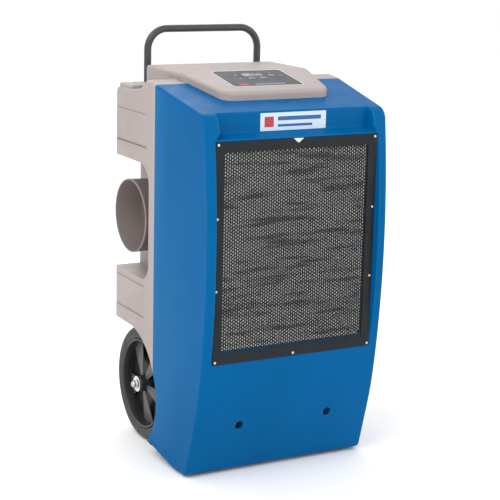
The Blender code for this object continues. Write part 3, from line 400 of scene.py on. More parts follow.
def cut(obj, cutters, operation="DIFFERENCE"):
    """Boolean the cutters into the object, then remove them."""
    for tool in cutters:
        modifier = obj.modifiers.new(tool.name, "BOOLEAN")
        modifier.operation = operation
        modifier.object = tool
        modifier.solver = "EXACT"
    apply_modifiers(obj)
    for tool in cutters:
        bpy.data.objects.remove(tool, do_unlink=True)


def apply_modifiers(obj):
    graph = bpy.context.evaluated_depsgraph_get()
    mesh = bpy.data.meshes.new_from_object(obj.evaluated_get(graph))
    old = obj.data
    obj.modifiers.clear()
    obj.data = mesh
    mesh.name = old.name


def resharpen(obj, degrees=35.0):
    obj.data.shade_smooth()
    obj.data.set_sharp_from_angle(angle=math.radians(degrees))
    weight = obj.modifiers.new("weights", "WEIGHTED_NORMAL")
    weight.keep_sharp = True
    weight.weight = 80


def box(low, high):
    mesh = bmesh.new()
    size = [h - l for l, h in zip(low, high)]
    middle = [(h + l) / 2 for l, h in zip(low, high)]
    matrix = Matrix.Translation(middle) @ Matrix.Diagonal((*size, 1))
    bmesh.ops.create_cube(mesh, size=1, matrix=matrix)
    return mesh


def soft_box(low, high, radius, segments=3):
    mesh = box(low, high)
    bmesh.ops.bevel(mesh, geom=mesh.edges[:], offset=radius, segments=segments, profile=0.5, affect="EDGES")
    return mesh


def bridge(mesh, rings, closed=True):
    """Four-sided faces between each ring of vertices and the next."""
    count = len(rings[0])
    for near, far in zip(rings, rings[1:]):
        for i in range(count if closed else count - 1):
            j = (i + 1) % count
            mesh.faces.new((near[i], near[j], far[j], far[i]))


AXIS_ORDER = {"X": (2, 0, 1), "Y": (0, 2, 1), "Z": (0, 1, 2)}


def flat_ring(mesh, points, at, axis):
    """Vertices from (a, b) points, at one place along the axis."""
    return [mesh.verts.new([(a, b, at)[i] for i in AXIS_ORDER[axis]]) for a, b in points]


def prism(points, low, high, axis="X"):
    mesh = bmesh.new()
    ends = [flat_ring(mesh, points, at, axis) for at in (low, high)]
    mesh.faces.new(ends[0])
    mesh.faces.new(ends[1])
    bridge(mesh, ends)
    return mesh


TURN_TO = {
    "X": Matrix.Rotation(math.pi / 2, 4, "Y"),
    "Y": Matrix.Rotation(-math.pi / 2, 4, "X"),
    "Z": Matrix(),
}


def turned(profile, segments=96, axis="X", sign=1):
    """A closed (radius, height) profile turned about the axis. A sign of -1 mirrors it in X."""
    mesh = bmesh.new()
    rings = []
    for radius, height in profile:
        if radius == 0:
            rings.append([mesh.verts.new((0, 0, height))] * segments)
            continue
        ring = []
        for k in range(segments):
            angle = 2 * math.pi * k / segments
            ring.append(mesh.verts.new((radius * math.cos(angle), radius * math.sin(angle), height)))
        rings.append(ring)
    for ring, following in zip(rings, rings[1:] + rings[:1]):
        if ring[0] is ring[1] and following[0] is following[1]:
            continue
        for k in range(segments):
            n = (k + 1) % segments
            mesh.faces.new(list(dict.fromkeys([ring[k], ring[n], following[n], following[k]])))
    mesh.transform(TURN_TO[axis])
    mesh.transform(Matrix.Diagonal((sign, 1, 1, 1)))
    return mesh


def rod(radius, low, high, segments=48, axis="X"):
    return turned([(0, low), (radius, low), (radius, high), (0, high)], segments, axis)


def moved(mesh, x=0.0, y=0.0, z=0.0):
    mesh.transform(Matrix.Translation((x, y, z)))
    return mesh


def rounded_profile(points, radius, steps=4):
    """The corners of an open outline turned into small arcs."""
    made = [points[0]]
    for before, corner, after in zip(points, points[1:], points[2:]):
        corner = Vector(corner)
        into = Vector(before) - corner
        out = Vector(after) - corner
        half = into.angle(out) / 2
        r = min(radius, 0.45 * min(into.length, out.length) * math.tan(half))
        if half > math.radians(88) or r < 1e-5:
            made.append(tuple(corner))
            continue
        reach = r / math.tan(half)
        start = corner + into.normalized() * reach
        end = corner + out.normalized() * reach
        centre = corner + (into.normalized() + out.normalized()).normalized() * (r / math.sin(half))
        a = math.atan2(*reversed(tuple(start - centre)))
        b = math.atan2(*reversed(tuple(end - centre)))
        turn = (b - a + math.pi) % (2 * math.pi) - math.pi
        for k in range(steps + 1):
            angle = a + turn * k / steps
            made.append((centre.x + r * math.cos(angle), centre.y + r * math.sin(angle)))
    made.append(points[-1])
    return made


def rounded_rectangle(half_a, half_b, radius, steps=6):
    points = []
    corners = ((1, 1, 0), (-1, 1, 90), (-1, -1, 180), (1, -1, 270))
    for side_a, side_b, start in corners:
        for k in range(steps + 1):
            angle = math.radians(start + 90 * k / steps)
            a = side_a * (half_a - radius) + radius * math.cos(angle)
            b = side_b * (half_b - radius) + radius * math.sin(angle)
            points.append((a, b))
    return points


def arc(centre, radius, start, end, steps):
    points = []
    for k in range(steps + 1):
        angle = math.radians(start + (end - start) * k / steps)
        points.append((centre[0] + radius * math.cos(angle), centre[1] + radius * math.sin(angle)))
    return points


STRAIGHT_ON = 0.0005


def trimmed(outline, distances):
    """The closed outline with each edge moved inwards by its own distance."""
    area = 0.0
    for (a, b), (c, d) in zip(outline, outline[1:] + outline[:1]):
        area += a * d - b * c
    inward = math.copysign(1, area)
    lines = []
    count = len(outline)
    for i in range(count):
        start = Vector(outline[i])
        along = (Vector(outline[(i + 1) % count]) - start).normalized()
        normal = Vector((-along.y, along.x)) * inward
        lines.append((start + normal * distances[i], along, normal))
    points = []
    for i in range(count):
        before, _, normal_before = lines[i - 1]
        after, along_after, _ = lines[i]
        turn = along_after.dot(normal_before)
        if abs(turn) < STRAIGHT_ON:
            points.append(tuple(after))
            continue
        points.append(tuple(after - along_after * ((after - before).dot(normal_before) / turn)))
    return points


def smooth(value):
    value = min(1.0, max(0.0, value))
    return value * value * (3 - 2 * value)


# ---------------------------------------------------------------- front shell


def front_half_width(y):
    return HALF_WIDTH + FRONT_DRAFT * (min(y, SEAM_Y) - SEAM_Y)


def top_z(y):
    return TOP_Z + TOP_SLOPE * (y - SEAM_Y)


def bottom_z(y):
    return SHELL_BOTTOM + BOTTOM_RISE * max(0.0, y - BOTTOM_BREAK_Y)


def front_y(z):
    arc_slope = (FRONT_Y_Z - FRONT_ARC_LOW) / FRONT_RADIUS
    if z >= FRONT_ARC_LOW:
        return FRONT_Y + (z - FRONT_Y_Z) ** 2 / (2 * FRONT_RADIUS)
    arc_end = FRONT_Y + (FRONT_ARC_LOW - FRONT_Y_Z) ** 2 / (2 * FRONT_RADIUS)
    blend = FRONT_ARC_LOW - FACET_TOP
    down = min(FRONT_ARC_LOW - z, blend)
    y = arc_end + arc_slope * down + (FACET_SLOPE - arc_slope) * down * down / (2 * blend)
    return y + FACET_SLOPE * max(0.0, FACET_TOP - z)


def spread(low, high, count):
    return [low + (high - low) * k / (count - 1) for k in range(count)]


def along(points, count):
    """An open polyline resampled at even distances."""
    lengths = [0.0]
    for a, b in zip(points, points[1:]):
        lengths.append(lengths[-1] + math.dist(a, b))
    made = []
    i = 0
    for k in range(count):
        at = lengths[-1] * k / (count - 1)
        while i < len(points) - 2 and lengths[i + 1] < at:
            i += 1
        share = (at - lengths[i]) / max(1e-9, lengths[i + 1] - lengths[i])
        share = min(1.0, share)
        made.append(tuple(p + (q - p) * share for p, q in zip(points[i], points[i + 1])))
    return made


def shell_profiles():
    """Matched (y, z) profiles of the rails and of the middle, from the rear of the bottom up to the seam.

    Also how far the recess's edge has moved in from the grille's width to the band's.
    """
    toe = (front_y(SHELL_BOTTOM), SHELL_BOTTOM)
    rear_low = (0.0095, bottom_z(0.0095))
    low = [rear_low, (BOTTOM_BREAK_Y, SHELL_BOTTOM), toe, (front_y(0.060), 0.060)]
    low = rounded_profile(low, 0.016, 8)
    shared = [low[0], *spread_points(low[0], low[1], 6), *low[1:-1]]
    heights = spread(0.050, GRILLE_LOW - 0.006, 30)
    shared += [(front_y(z), z) for z in heights]
    rail = list(shared)
    middle = list(shared)
    narrow = [0.0] * len(shared)
    seat = GRILLE_Y + GRILLE_THICK + 0.0004
    edge = GRILLE_LOW - 0.0012
    for z, depth in ((edge - 0.0024, 0.0), (edge - 0.0010, 0.25), (edge - 0.0002, 0.85), (edge, 1.0)):
        rail.append((front_y(z), z))
        middle.append((front_y(z) + (seat - front_y(z)) * depth, z))
        narrow.append(0.0)
    for z in spread(edge + 0.004, GRILLE_HIGH - 0.001, 90):
        rail.append((front_y(z), z))
        middle.append((seat, z))
        narrow.append(0.0)
    # From the grille's top edge to the slope the two profiles part.
    edge = GRILLE_HIGH + 0.0012
    start = (front_y(edge), edge)
    arc_start = 0.7350
    centre_y = front_y(arc_start) + SHOULDER_RADIUS
    centre_z = top_z(centre_y) - SHOULDER_RADIUS * math.hypot(1, TOP_SLOPE)
    slope_angle = math.degrees(math.atan(TOP_SLOPE))
    meet_y = -0.182
    over = [start, *[(front_y(z), z) for z in spread(edge + 0.003, arc_start, 8)]]
    over += arc((centre_y, centre_z), SHOULDER_RADIUS, 172, 90 + slope_angle, 14)
    over.append((meet_y, top_z(meet_y)))
    under = [(seat, edge), (GRILLE_Y - 0.0006, edge + 0.0002), (GRILLE_Y + 0.0010, edge + 0.0020)]
    under += [(BAND_Y - 0.0010, LEDGE_TOP), (BAND_Y, LEDGE_TOP + 0.006)]
    under += [(BAND_Y + 0.0003, top_z(BAND_Y)), (meet_y, top_z(meet_y))]
    under = rounded_profile(under, 0.0035, 4)
    count = 60
    over = along(over, count)
    under = along(under, count)
    rail += over
    middle += under
    for _, z in under:
        narrow.append(smooth((z - edge) / 0.008))
    for y in spread(meet_y + 0.008, SEAM_Y, 22):
        rail.append((y, top_z(y)))
        middle.append((y, top_z(y)))
        narrow.append(1.0)
    return rail, middle, narrow


def spread_points(a, b, count):
    """Evenly spaced points between two others, without the two themselves."""
    shares = [k / (count + 1) for k in range(1, count + 1)]
    return [(a[0] + (b[0] - a[0]) * share, a[1] + (b[1] - a[1]) * share) for share in shares]


def front_shell():
    rail, middle, narrow = shell_profiles()
    count = len(rail)
    arch_top = math.degrees(math.asin((ARCH_TOP_Z - WHEEL_RADIUS) / ARCH_RADIUS))
    arch_low = math.degrees(math.asin((ARCH_LOW_Z - WHEEL_RADIUS) / ARCH_RADIUS))
    arch = arc((WHEEL_Y, WHEEL_RADIUS), ARCH_RADIUS, 180 - arch_top, 180 - arch_low, 20)
    outline = rail + arch
    columns = []
    # Middle columns, up to the recess's edge
    half_slant = RECESS_SLANT / 2
    for share in spread(0.0, 1.0, 16):
        columns.append([(share * (edge_at(n) - half_slant), y, z) for (y, z), n in zip(middle, narrow)])
    # Across the recess's wall
    for k in range(1, 9):
        share = k / 8
        column = []
        for (ry, rz), (my, mz), n in zip(rail, middle, narrow):
            x = edge_at(n) - half_slant + RECESS_SLANT * share
            mix = smooth(share)
            column.append((x, my + (ry - my) * mix, mz + (rz - mz) * mix))
        columns.append(column)
    # Across the rail
    for k in range(1, 5):
        column = []
        for (y, z), n in zip(rail, narrow):
            inner = edge_at(n) + half_slant
            outer = front_half_width(y) - SIDE_ROUND
            column.append((inner + (outer - inner) * k / 4, y, z))
        columns.append(column)
    # Round the side edge
    steps = 10
    for k in range(1, steps + 1):
        angle = math.radians(90 * k / steps)
        inset_by = SIDE_ROUND * (1 - math.cos(angle))
        reach = SIDE_ROUND * math.sin(angle)
        distances = [inset_by if i < count - 1 else 0.0 for i in range(len(outline))]
        ring = trimmed(outline, distances)[:count]
        columns.append([(front_half_width(y) - SIDE_ROUND + reach, y, z) for y, z in ring])
    mesh = bmesh.new()
    for sign in (1, -1):
        grid = []
        for column in columns:
            grid.append([mesh.verts.new((sign * x, y, z)) for x, y, z in column])
        bridge(mesh, grid, closed=False)
        rear = [mesh.verts.new((sign * front_half_width(y), y, z)) for y, z in arch]
        mesh.faces.new([*grid[-1], *rear])
    bmesh.ops.remove_doubles(mesh, verts=mesh.verts, dist=0.00002)
    # The air opening behind the grille
    gone = []
    for face in mesh.faces:
        centre = face.calc_center_median()
        level = OPENING_LOW < centre.z < OPENING_HIGH
        if abs(centre.x) < OPENING_HALF and level and abs(centre.y - GRILLE_Y) < SEAT_REACH:
            gone.append(face)
    bmesh.ops.delete(mesh, geom=gone, context="FACES")
    shell = piece("front_shell_skin", mesh, BLUE, None, 40)
    thick = shell.modifiers.new("wall", "SOLIDIFY")
    thick.thickness = WALL
    thick.offset = -1
    thick.use_rim = True
    apply_modifiers(shell)
    tools = []
    for x in (-BOLT_X, BOLT_X):
        hole = moved(rod(ACCESS_RADIUS, -0.230, -0.170, 40, "Y"), x=x, z=BOLT_Z)
        tools.append(cutter("access", hole))
    cut(shell, tools)
    resharpen(shell, 40)
    dress(shell, "front_shell", "chassis")
    for side, x in (("left", -BOLT_X), ("right", BOLT_X)):
        face = front_y(BOLT_Z)
        inner = ACCESS_RADIUS + 0.0001
        profile = [(inner, face + 0.0032), (inner + 0.003, face + 0.0032), (inner + 0.003, -0.1634)]
        profile += [(0.0043, -0.1634), (0.0043, -0.1662), (inner, -0.1662)]
        tube = piece(f"access_tube_{side}", turned(profile, 40, "Y"), BLUE, None)
        tube.location = (x, 0, BOLT_Z)
        dress(tube, body="chassis")


def edge_at(narrow):
    """Half-width of the recess: the grille's below, the band's above."""
    wide = GRILLE_HALF + 0.0016
    return wide + (BAND_HALF - wide) * narrow


# ---------------------------------------------------------------- rear shell


def rear_half_width(y):
    return HALF_WIDTH - REAR_DRAFT * (y - SEAM_Y)


def rear_outline():
    crest = [(SEAM_Y + 0.0003, TOP_Z), (0.000, 0.8048), (0.0265, 0.8073), (0.0360, 0.8040)]
    fall = [(0.0435, 0.7985), (0.0605, 0.7885), (0.0815, 0.7820), (0.0995, 0.7790)]
    top = crest + fall
    back = [(REAR_Y, 0.7790), (REAR_Y, REAR_BOTTOM), (SEAM_Y + 0.0003, REAR_BOTTOM)]
    points = rounded_profile(top + back[:1], 0.007, 4)[:-1]
    points += rounded_profile([fall[-1], *back], 0.0155, 8)[1:]
    return points


def wheel_bay(grow=0.0):
    radius = ARCH_RADIUS + grow
    points = arc((WHEEL_Y, WHEEL_RADIUS), radius, 195, 90, 28)
    points.append((CLEAR_OF_BACK, BLOCK_BOTTOM + grow))
    points.append((CLEAR_OF_BACK, -0.010))
    points.append((points[0][0], -0.010))
    return points


def recess_outline(grow=0.0):
    low = RECESS_LOW - grow
    high = RECESS_HIGH + grow
    front = RECESS_FRONT - grow
    points = [(CLEAR_OF_BACK, low)]
    for radius, centre_z, start in (
        (RECESS_LOW_ROUND, low + RECESS_LOW_ROUND, 270),
        (RECESS_HIGH_ROUND, high - RECESS_HIGH_ROUND, 180),
    ):
        points += arc((front + radius, centre_z), radius, start, start - 90, 10)
    points.append((CLEAR_OF_BACK, high))
    return points


def lofted(outline, half_width, rounded, radius, segments):
    rings = []
    for k in range(segments + 1):
        angle = math.radians(90 * k / segments)
        cut_by = radius * (1 - math.sin(angle))
        back = radius * (1 - math.cos(angle))
        distances = [cut_by if rounded[0] <= i < rounded[1] else 0.0 for i in range(len(outline))]
        rings.append([(half_width(y) - back, y, z) for y, z in trimmed(outline, distances)])
    rings = [[(-x, y, z) for x, y, z in ring] for ring in rings] + rings[::-1]
    mesh = bmesh.new()
    loops = [[mesh.verts.new(point) for point in ring] for ring in rings]
    mesh.faces.new(loops[0])
    mesh.faces.new(loops[-1])
    bridge(mesh, loops)
    return mesh


def side_cutter(name, points, sign, inner):
    low, high = sorted((sign * inner, sign * CLEAR_OF_SIDE))
    return cutter(name, prism(points, low, high))


def rear_shell():
    outline = rear_outline()
    skin = lofted(outline, rear_half_width, (0, len(outline) - 1), SIDE_ROUND, 6)
    shell = piece("rear_shell_skin", skin, TAN, None)
    inner = trimmed(outline, [WALL] * len(outline))
    for i in (0, -1):
        inner[i] = (SEAM_Y - 0.020, inner[i][1])
    hollow_mesh = lofted(inner, lambda y: rear_half_width(y) - WALL, (0, len(inner) - 1), 0.0030, 2)
    hollow = cutter("hollow", hollow_mesh)
    walls = []
    for sign in (-1, 1):
        walls.append(side_cutter("bay_wall", wheel_bay(WALL), sign, INNER_HALF - WALL))
        walls.append(side_cutter("recess_wall", recess_outline(WALL), sign, RECESS_FLOOR - WALL))
    cut(hollow, walls)
    tools = [hollow]
    for sign in (-1, 1):
        tools.append(side_cutter("bay", wheel_bay(), sign, INNER_HALF))
        tools.append(side_cutter("recess", recess_outline(), sign, RECESS_FLOOR))
        tools += side_relief(sign)
    hole = moved(rod(0.0730, -0.170, -0.150, 64), y=DUCT_Y, z=DUCT_Z)
    tools.append(cutter("duct_hole", hole))
    for y, radius in FITTING_HOLES:
        tools.append(cutter("fitting_hole", moved(rod(radius, 0.150, 0.170, 24), y=y, z=FITTING_Z)))
    axle_hole = rod(AXLE_HOLE_RADIUS, -0.150, 0.150, 24)
    tools.append(cutter("axle_hole", moved(axle_hole, y=WHEEL_Y, z=WHEEL_RADIUS)))
    cut(shell, tools)
    lumps = []
    for sign in (-1, 1):
        for near, far in LUMP_SPANS:
            left, right = sorted((sign * near, sign * far))
            corners = zip((left, right), LUMP_Y, LUMP_Z)
            lumps.append(cutter("lump", soft_box(*corners, 0.0035)))
    cut(shell, lumps, "UNION")
    resharpen(shell, 30)
    dress(shell, "rear_shell", "chassis")
    for side, sign in (("left", -1), ("right", 1)):
        (front, rear), (low, high) = BEAD_Y, BEAD_Z
        bead = prism([(front, low), (rear, low), (rear, high), (front, high)], 0.215, 0.230)
        for vert in bead.verts:
            vert.co.x = rear_half_width(vert.co.y) + (0.0007 if vert.co.x > 0.222 else -0.0010)
            vert.co.x *= sign
        bmesh.ops.bevel(bead, geom=bead.edges[:], offset=0.0005, segments=2, profile=0.5, affect="EDGES")
        piece(f"side_bead_{side}", bead, TAN)


SIDE_TOOL_INNER = 0.200


def side_tool(name, points, sign, depth):
    """A cutter whose inner face lies this far under the shell's drafted side."""
    mesh = prism(points, SIDE_TOOL_INNER, CLEAR_OF_SIDE)
    for vert in mesh.verts:
        if vert.co.x < CLEAR_OF_SIDE - 0.030:
            vert.co.x = rear_half_width(vert.co.y) - depth
        vert.co.x *= sign
    return cutter(name, mesh)


def side_relief(sign):
    """Shallow fields and grooves in the shell's side."""
    made = []
    fields = ((0.028, 0.667, 0.230, 0.820), (0.036, 0.299, 0.230, 0.367))
    for y0, z0, y1, z1 in fields:
        outline = [(y0, z0), (y1, z0), (y1, z1), (y0, z1)]
        outline = rounded_profile([*outline, outline[0]], 0.004, 3)[:-1]
        made.append(side_tool("field", outline, sign, 0.0012))
    grooves = (
        (0.028, 0.7350, 0.0022),
        (0.028, 0.6655, 0.0026),
        (0.036, 0.3665, 0.0022),
        (0.036, 0.2985, 0.0026),
    )
    for y0, z, tall in grooves:
        outline = [(y0, z - tall / 2), (0.230, z - tall / 2), (0.230, z + tall / 2), (y0, z + tall / 2)]
        made.append(side_tool("groove", outline, sign, 0.0022))
    return made


# ---------------------------------------------------------------- hood and controls


def hood_half_width(y):
    if y >= HOOD_CREASE_Y:
        return HOOD_REAR_HALF
    share = (HOOD_CREASE_Y - y) / (HOOD_CREASE_Y - HOOD_FRONT_Y)
    width = HOOD_REAR_HALF + (HOOD_FRONT_HALF - HOOD_REAR_HALF) * share
    into = HOOD_FRONT_Y + HOOD_CORNER - y
    if into > 0:
        width -= HOOD_CORNER - math.sqrt(max(0.0, HOOD_CORNER ** 2 - min(into, HOOD_CORNER) ** 2))
    return width


def control_hood():
    steps = 10
    eases = [1 - math.cos(math.radians(90 * k / steps)) for k in range(steps + 1)]
    front_ys = [HOOD_FRONT_Y + HOOD_CORNER * ease for ease in eases]
    mesh = bmesh.new()
    top = [(HOOD_REAR_Y, HOOD_TOP), (HOOD_REAR_Y - 0.006, HOOD_TOP), (0.120, HOOD_TOP), (0.060, HOOD_TOP)]
    top += [(HOOD_CREASE_Y + 0.006, HOOD_TOP - 0.0001), (HOOD_CREASE_Y, HOOD_TOP - 0.0004)]
    top += [(HOOD_CREASE_Y - 0.008, hood_z(HOOD_CREASE_Y - 0.008))]
    top += [(y, hood_z(y)) for y in spread(-0.020, -0.100, 6)]
    top += [(y, hood_z(y)) for y in reversed(front_ys)]
    low = [(y, hood_floor(y)) for y, _ in top]
    sections = 9
    rings = []
    for k in range(sections + 1):
        angle = math.radians(90 * k / sections)
        drop = HOOD_EDGE_ROUND * (1 - math.sin(angle))
        back = HOOD_EDGE_ROUND * (1 - math.cos(angle))
        rings.append([(hood_half_width(y) - back, y, z - drop) for y, z in top])
    right = [[(x, y, z) for x, y, z in ring] for ring in rings]
    left = [[(-x, y, z) for x, y, z in ring] for ring in rings[::-1]]
    strips = [[(hood_half_width(y), y, z) for y, z in low]] + right + left
    strips.append([(-hood_half_width(y), y, z) for y, z in low])
    loops = [[mesh.verts.new(point) for point in strip] for strip in strips]
    bridge(mesh, loops, closed=False)
    # The front lip, the rear wall and the underside
    mesh.faces.new([loop[-1] for loop in loops])
    mesh.faces.new([loop[0] for loop in loops][::-1])
    bridge(mesh, [loops[0], loops[-1]], closed=False)
    hood = piece("control_hood_cover", mesh, TAN, None, 45)
    seat = prism(panel_outline(0.0012, 0.007), -0.0022, 0.010, "Z")
    tools = [on_panel(cutter("panel_seat", seat), 0, PANEL_Y)]
    # The groove round the hood's foot, at the crease
    groove = [(-0.010, 0.8095), (0.060, 0.8095), (0.060, 0.8108), (-0.010, 0.8108)]
    for sign in (-1, 1):
        low, high = sorted((sign * (HOOD_REAR_HALF - 0.0010), sign * 0.170))
        tools.append(cutter("side_groove", prism(groove, low, high)))
    cut(hood, tools)
    resharpen(hood, 32)
    dress(hood, "control_hood", "chassis")


def hood_z(y):
    """Height of the hood's top, with its front edge rounded over."""
    z = HOOD_TOP + HOOD_SLOPE * (min(y, HOOD_CREASE_Y) - HOOD_CREASE_Y)
    into = HOOD_FRONT_Y + HOOD_LIP - y
    if into > 0:
        z -= HOOD_LIP - math.sqrt(max(0.0, HOOD_LIP ** 2 - min(into, HOOD_LIP) ** 2))
    return z


def hood_floor(y):
    """Height of the surface that the hood stands on."""
    line = [(-0.300, top_z(-0.300)), (SEAM_Y, TOP_Z), (0.000, 0.8051), (0.0265, 0.8076), (0.0365, 0.8043)]
    line += [(0.0440, 0.7989), (0.0610, 0.7888), (0.0820, 0.7823), (0.0997, 0.7793), (0.300, 0.7793)]
    for (a, low), (b, high) in zip(line, line[1:]):
        if a <= y <= b:
            return low + (high - low) * (y - a) / (b - a) + 0.0002
    return TOP_Z


def on_slope(x, y, above=0.0):
    z = HOOD_TOP + HOOD_SLOPE * (y - HOOD_CREASE_Y)
    return (x, y - above * math.sin(SLOPE_ANGLE), z + above * math.cos(SLOPE_ANGLE))


def on_panel(obj, x, y, above=0.0):
    """The object laid on the hood's slope."""
    obj.location = on_slope(x, y, above)
    obj.rotation_euler = (SLOPE_ANGLE, 0, 0)
    return obj


def slope_piece(name, mesh, finish, x, y, body="chassis", above=0.0):
    obj = on_panel(piece(name, mesh, finish, None), x, y, above)
    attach(obj, body)
    return obj


def panel_outline(grow, radius):
    return rounded_rectangle(PANEL_HALF_X + grow, PANEL_HALF_Y + grow, radius)


def flat_shape(points, low, high, round_by=0.0):
    mesh = prism(points, low, high, "Z")
    if round_by:
        edges = [e for e in mesh.edges if all(v.co.z > high - 1e-6 for v in e.verts)]
        bmesh.ops.bevel(mesh, geom=edges, offset=round_by, segments=2, profile=0.5, affect="EDGES")
    return mesh


def key_outline(grow=0.0):
    return rounded_rectangle(KEY_HALF_X + grow, KEY_HALF_Y + grow, KEY_HALF_Y - 0.0001 + grow, 8)


def window_outline(grow=0.0):
    return rounded_rectangle(WINDOW_HALF_X + grow, WINDOW_HALF_Y + grow, 0.0022 + grow / 3)


def control_panel():
    panel_mesh = flat_shape(panel_outline(0.0, 0.006), -0.0016, 0.0004, 0.0004)
    panel = slope_piece("control_panel_overlay", panel_mesh, PANEL, 0, PANEL_Y)
    tools = []
    for _, _, x, y in KEYS:
        tools.append(on_panel(cutter("key_hole", flat_shape(key_outline(0.0003), -0.010, 0.010)), x, y))
    hole = cutter("window_hole", flat_shape(window_outline(0.0003), -0.0004, 0.010))
    tools.append(on_panel(hole, 0, WINDOW_Y))
    cut(panel, tools)
    resharpen(panel, 30)
    dress(panel, "control_panel", "chassis")


def panel_details():
    """The keys, the window, the seam round the overlay and its plain printed marks."""
    for name, body, x, y in KEYS:
        cap = flat_shape(key_outline(), -0.0040, 0.0012, 0.0009)
        button = slope_piece(f"{name}_cap", cap, BUTTON, x, y, body)
        dress(button, name)
    lens = flat_shape(window_outline(), -0.0002, 0.0005, 0.0002)
    window = slope_piece("display_window_lens", lens, DISPLAY, 0, WINDOW_Y)
    dress(window, "display_window")
    digits = bmesh.new()
    for i, segments in enumerate(("abcdef", "abgcd")):
        add_digit(digits, -0.0035 + 0.0075 * i, segments)
    slope_piece("display_digits", digits, BLACK_PLASTIC, 0, WINDOW_Y, above=0.00055)
    gap = ring_shape(panel_outline(0.0011, 0.0068), panel_outline(0.0001, 0.0061), -0.0021, -0.0008)
    slope_piece("panel_gap", gap, BLACK_PLASTIC, 0, PANEL_Y)
    bead = ring_shape(panel_outline(0.0032, 0.0092), panel_outline(0.0016, 0.0076), -0.0004, 0.0006)
    slope_piece("panel_bead", bead, WHITE_PLASTIC, 0, PANEL_Y)
    marks = (
        ("panel_bar_red", LABEL_RED, -0.054, -0.086, 0.0105, 0.0035),
        ("panel_bar_pale", BUTTON, 0.008, -0.086, 0.0360, 0.0035),
        ("panel_mark_red", LABEL_RED, 0.045, -0.0125, 0.0030, 0.0016),
        ("panel_icon_a", BUTTON, -0.040, -0.021, 0.0035, 0.0035),
        ("panel_icon_b", BUTTON, -0.040, -0.045, 0.0035, 0.0035),
        ("panel_icon_c", BUTTON, 0.062, -0.030, 0.0030, 0.0030),
        ("panel_line_top", BUTTON, 0.000, -0.0065, 0.0600, 0.0005),
        ("panel_line_low", BUTTON, 0.000, -0.0740, 0.0700, 0.0005),
    )
    for name, finish, x, y, half_x, half_y in marks:
        radius = 0.8 * min(half_x, half_y)
        shape = flat_shape(rounded_rectangle(half_x, half_y, radius), 0.00042, 0.00052)
        slope_piece(name, shape, finish, x, y)


def add_digit(mesh, x, segments):
    """A seven-segment digit, as raised bars."""
    wide, tall, bar = 0.0042, 0.0088, 0.0009
    bars = {
        "a": (0, tall / 2, wide / 2, bar / 2),
        "d": (0, -tall / 2, wide / 2, bar / 2),
        "g": (0, 0, wide / 2, bar / 2),
        "b": (wide / 2, tall / 4, bar / 2, tall / 4),
        "c": (wide / 2, -tall / 4, bar / 2, tall / 4),
        "e": (-wide / 2, -tall / 4, bar / 2, tall / 4),
        "f": (-wide / 2, tall / 4, bar / 2, tall / 4),
    }
    for key in segments:
        cx, cy, half_x, half_y = bars[key]
        size = Matrix.Diagonal((2 * half_x, 2 * half_y, 0.0001, 1))
        bmesh.ops.create_cube(mesh, size=1, matrix=Matrix.Translation((x + cx, cy, 0)) @ size)


def ring_shape(outer, inner, low, high, axis="Z"):
    """A flat frame between two outlines with the same number of points."""
    mesh = bmesh.new()
    edges = ((outer, low), (outer, high), (inner, high), (inner, low))
    rows = [flat_ring(mesh, outline, at, axis) for outline, at in edges]
    bridge(mesh, rows + rows[:1])
    return mesh


# ---------------------------------------------------------------- grille, filter, label

COLUMN_PITCH = 0.00514
HOLE_PITCH = 0.00672
HOLE_HALF_X = 0.00195
HOLE_HALF_Z = 0.00255
FIELD_HALF = 0.1673
FIELD_LOW = 0.2775
FIELD_HIGH = 0.6915
NOTCH_HALF = 0.0125
NOTCH_DEPTH = 0.0105
FILTER_FACE = GRILLE_Y + 0.0024
FILTER_X = (-0.1715, 0.1606)
FILTER_Z = (0.2870, 0.6890)


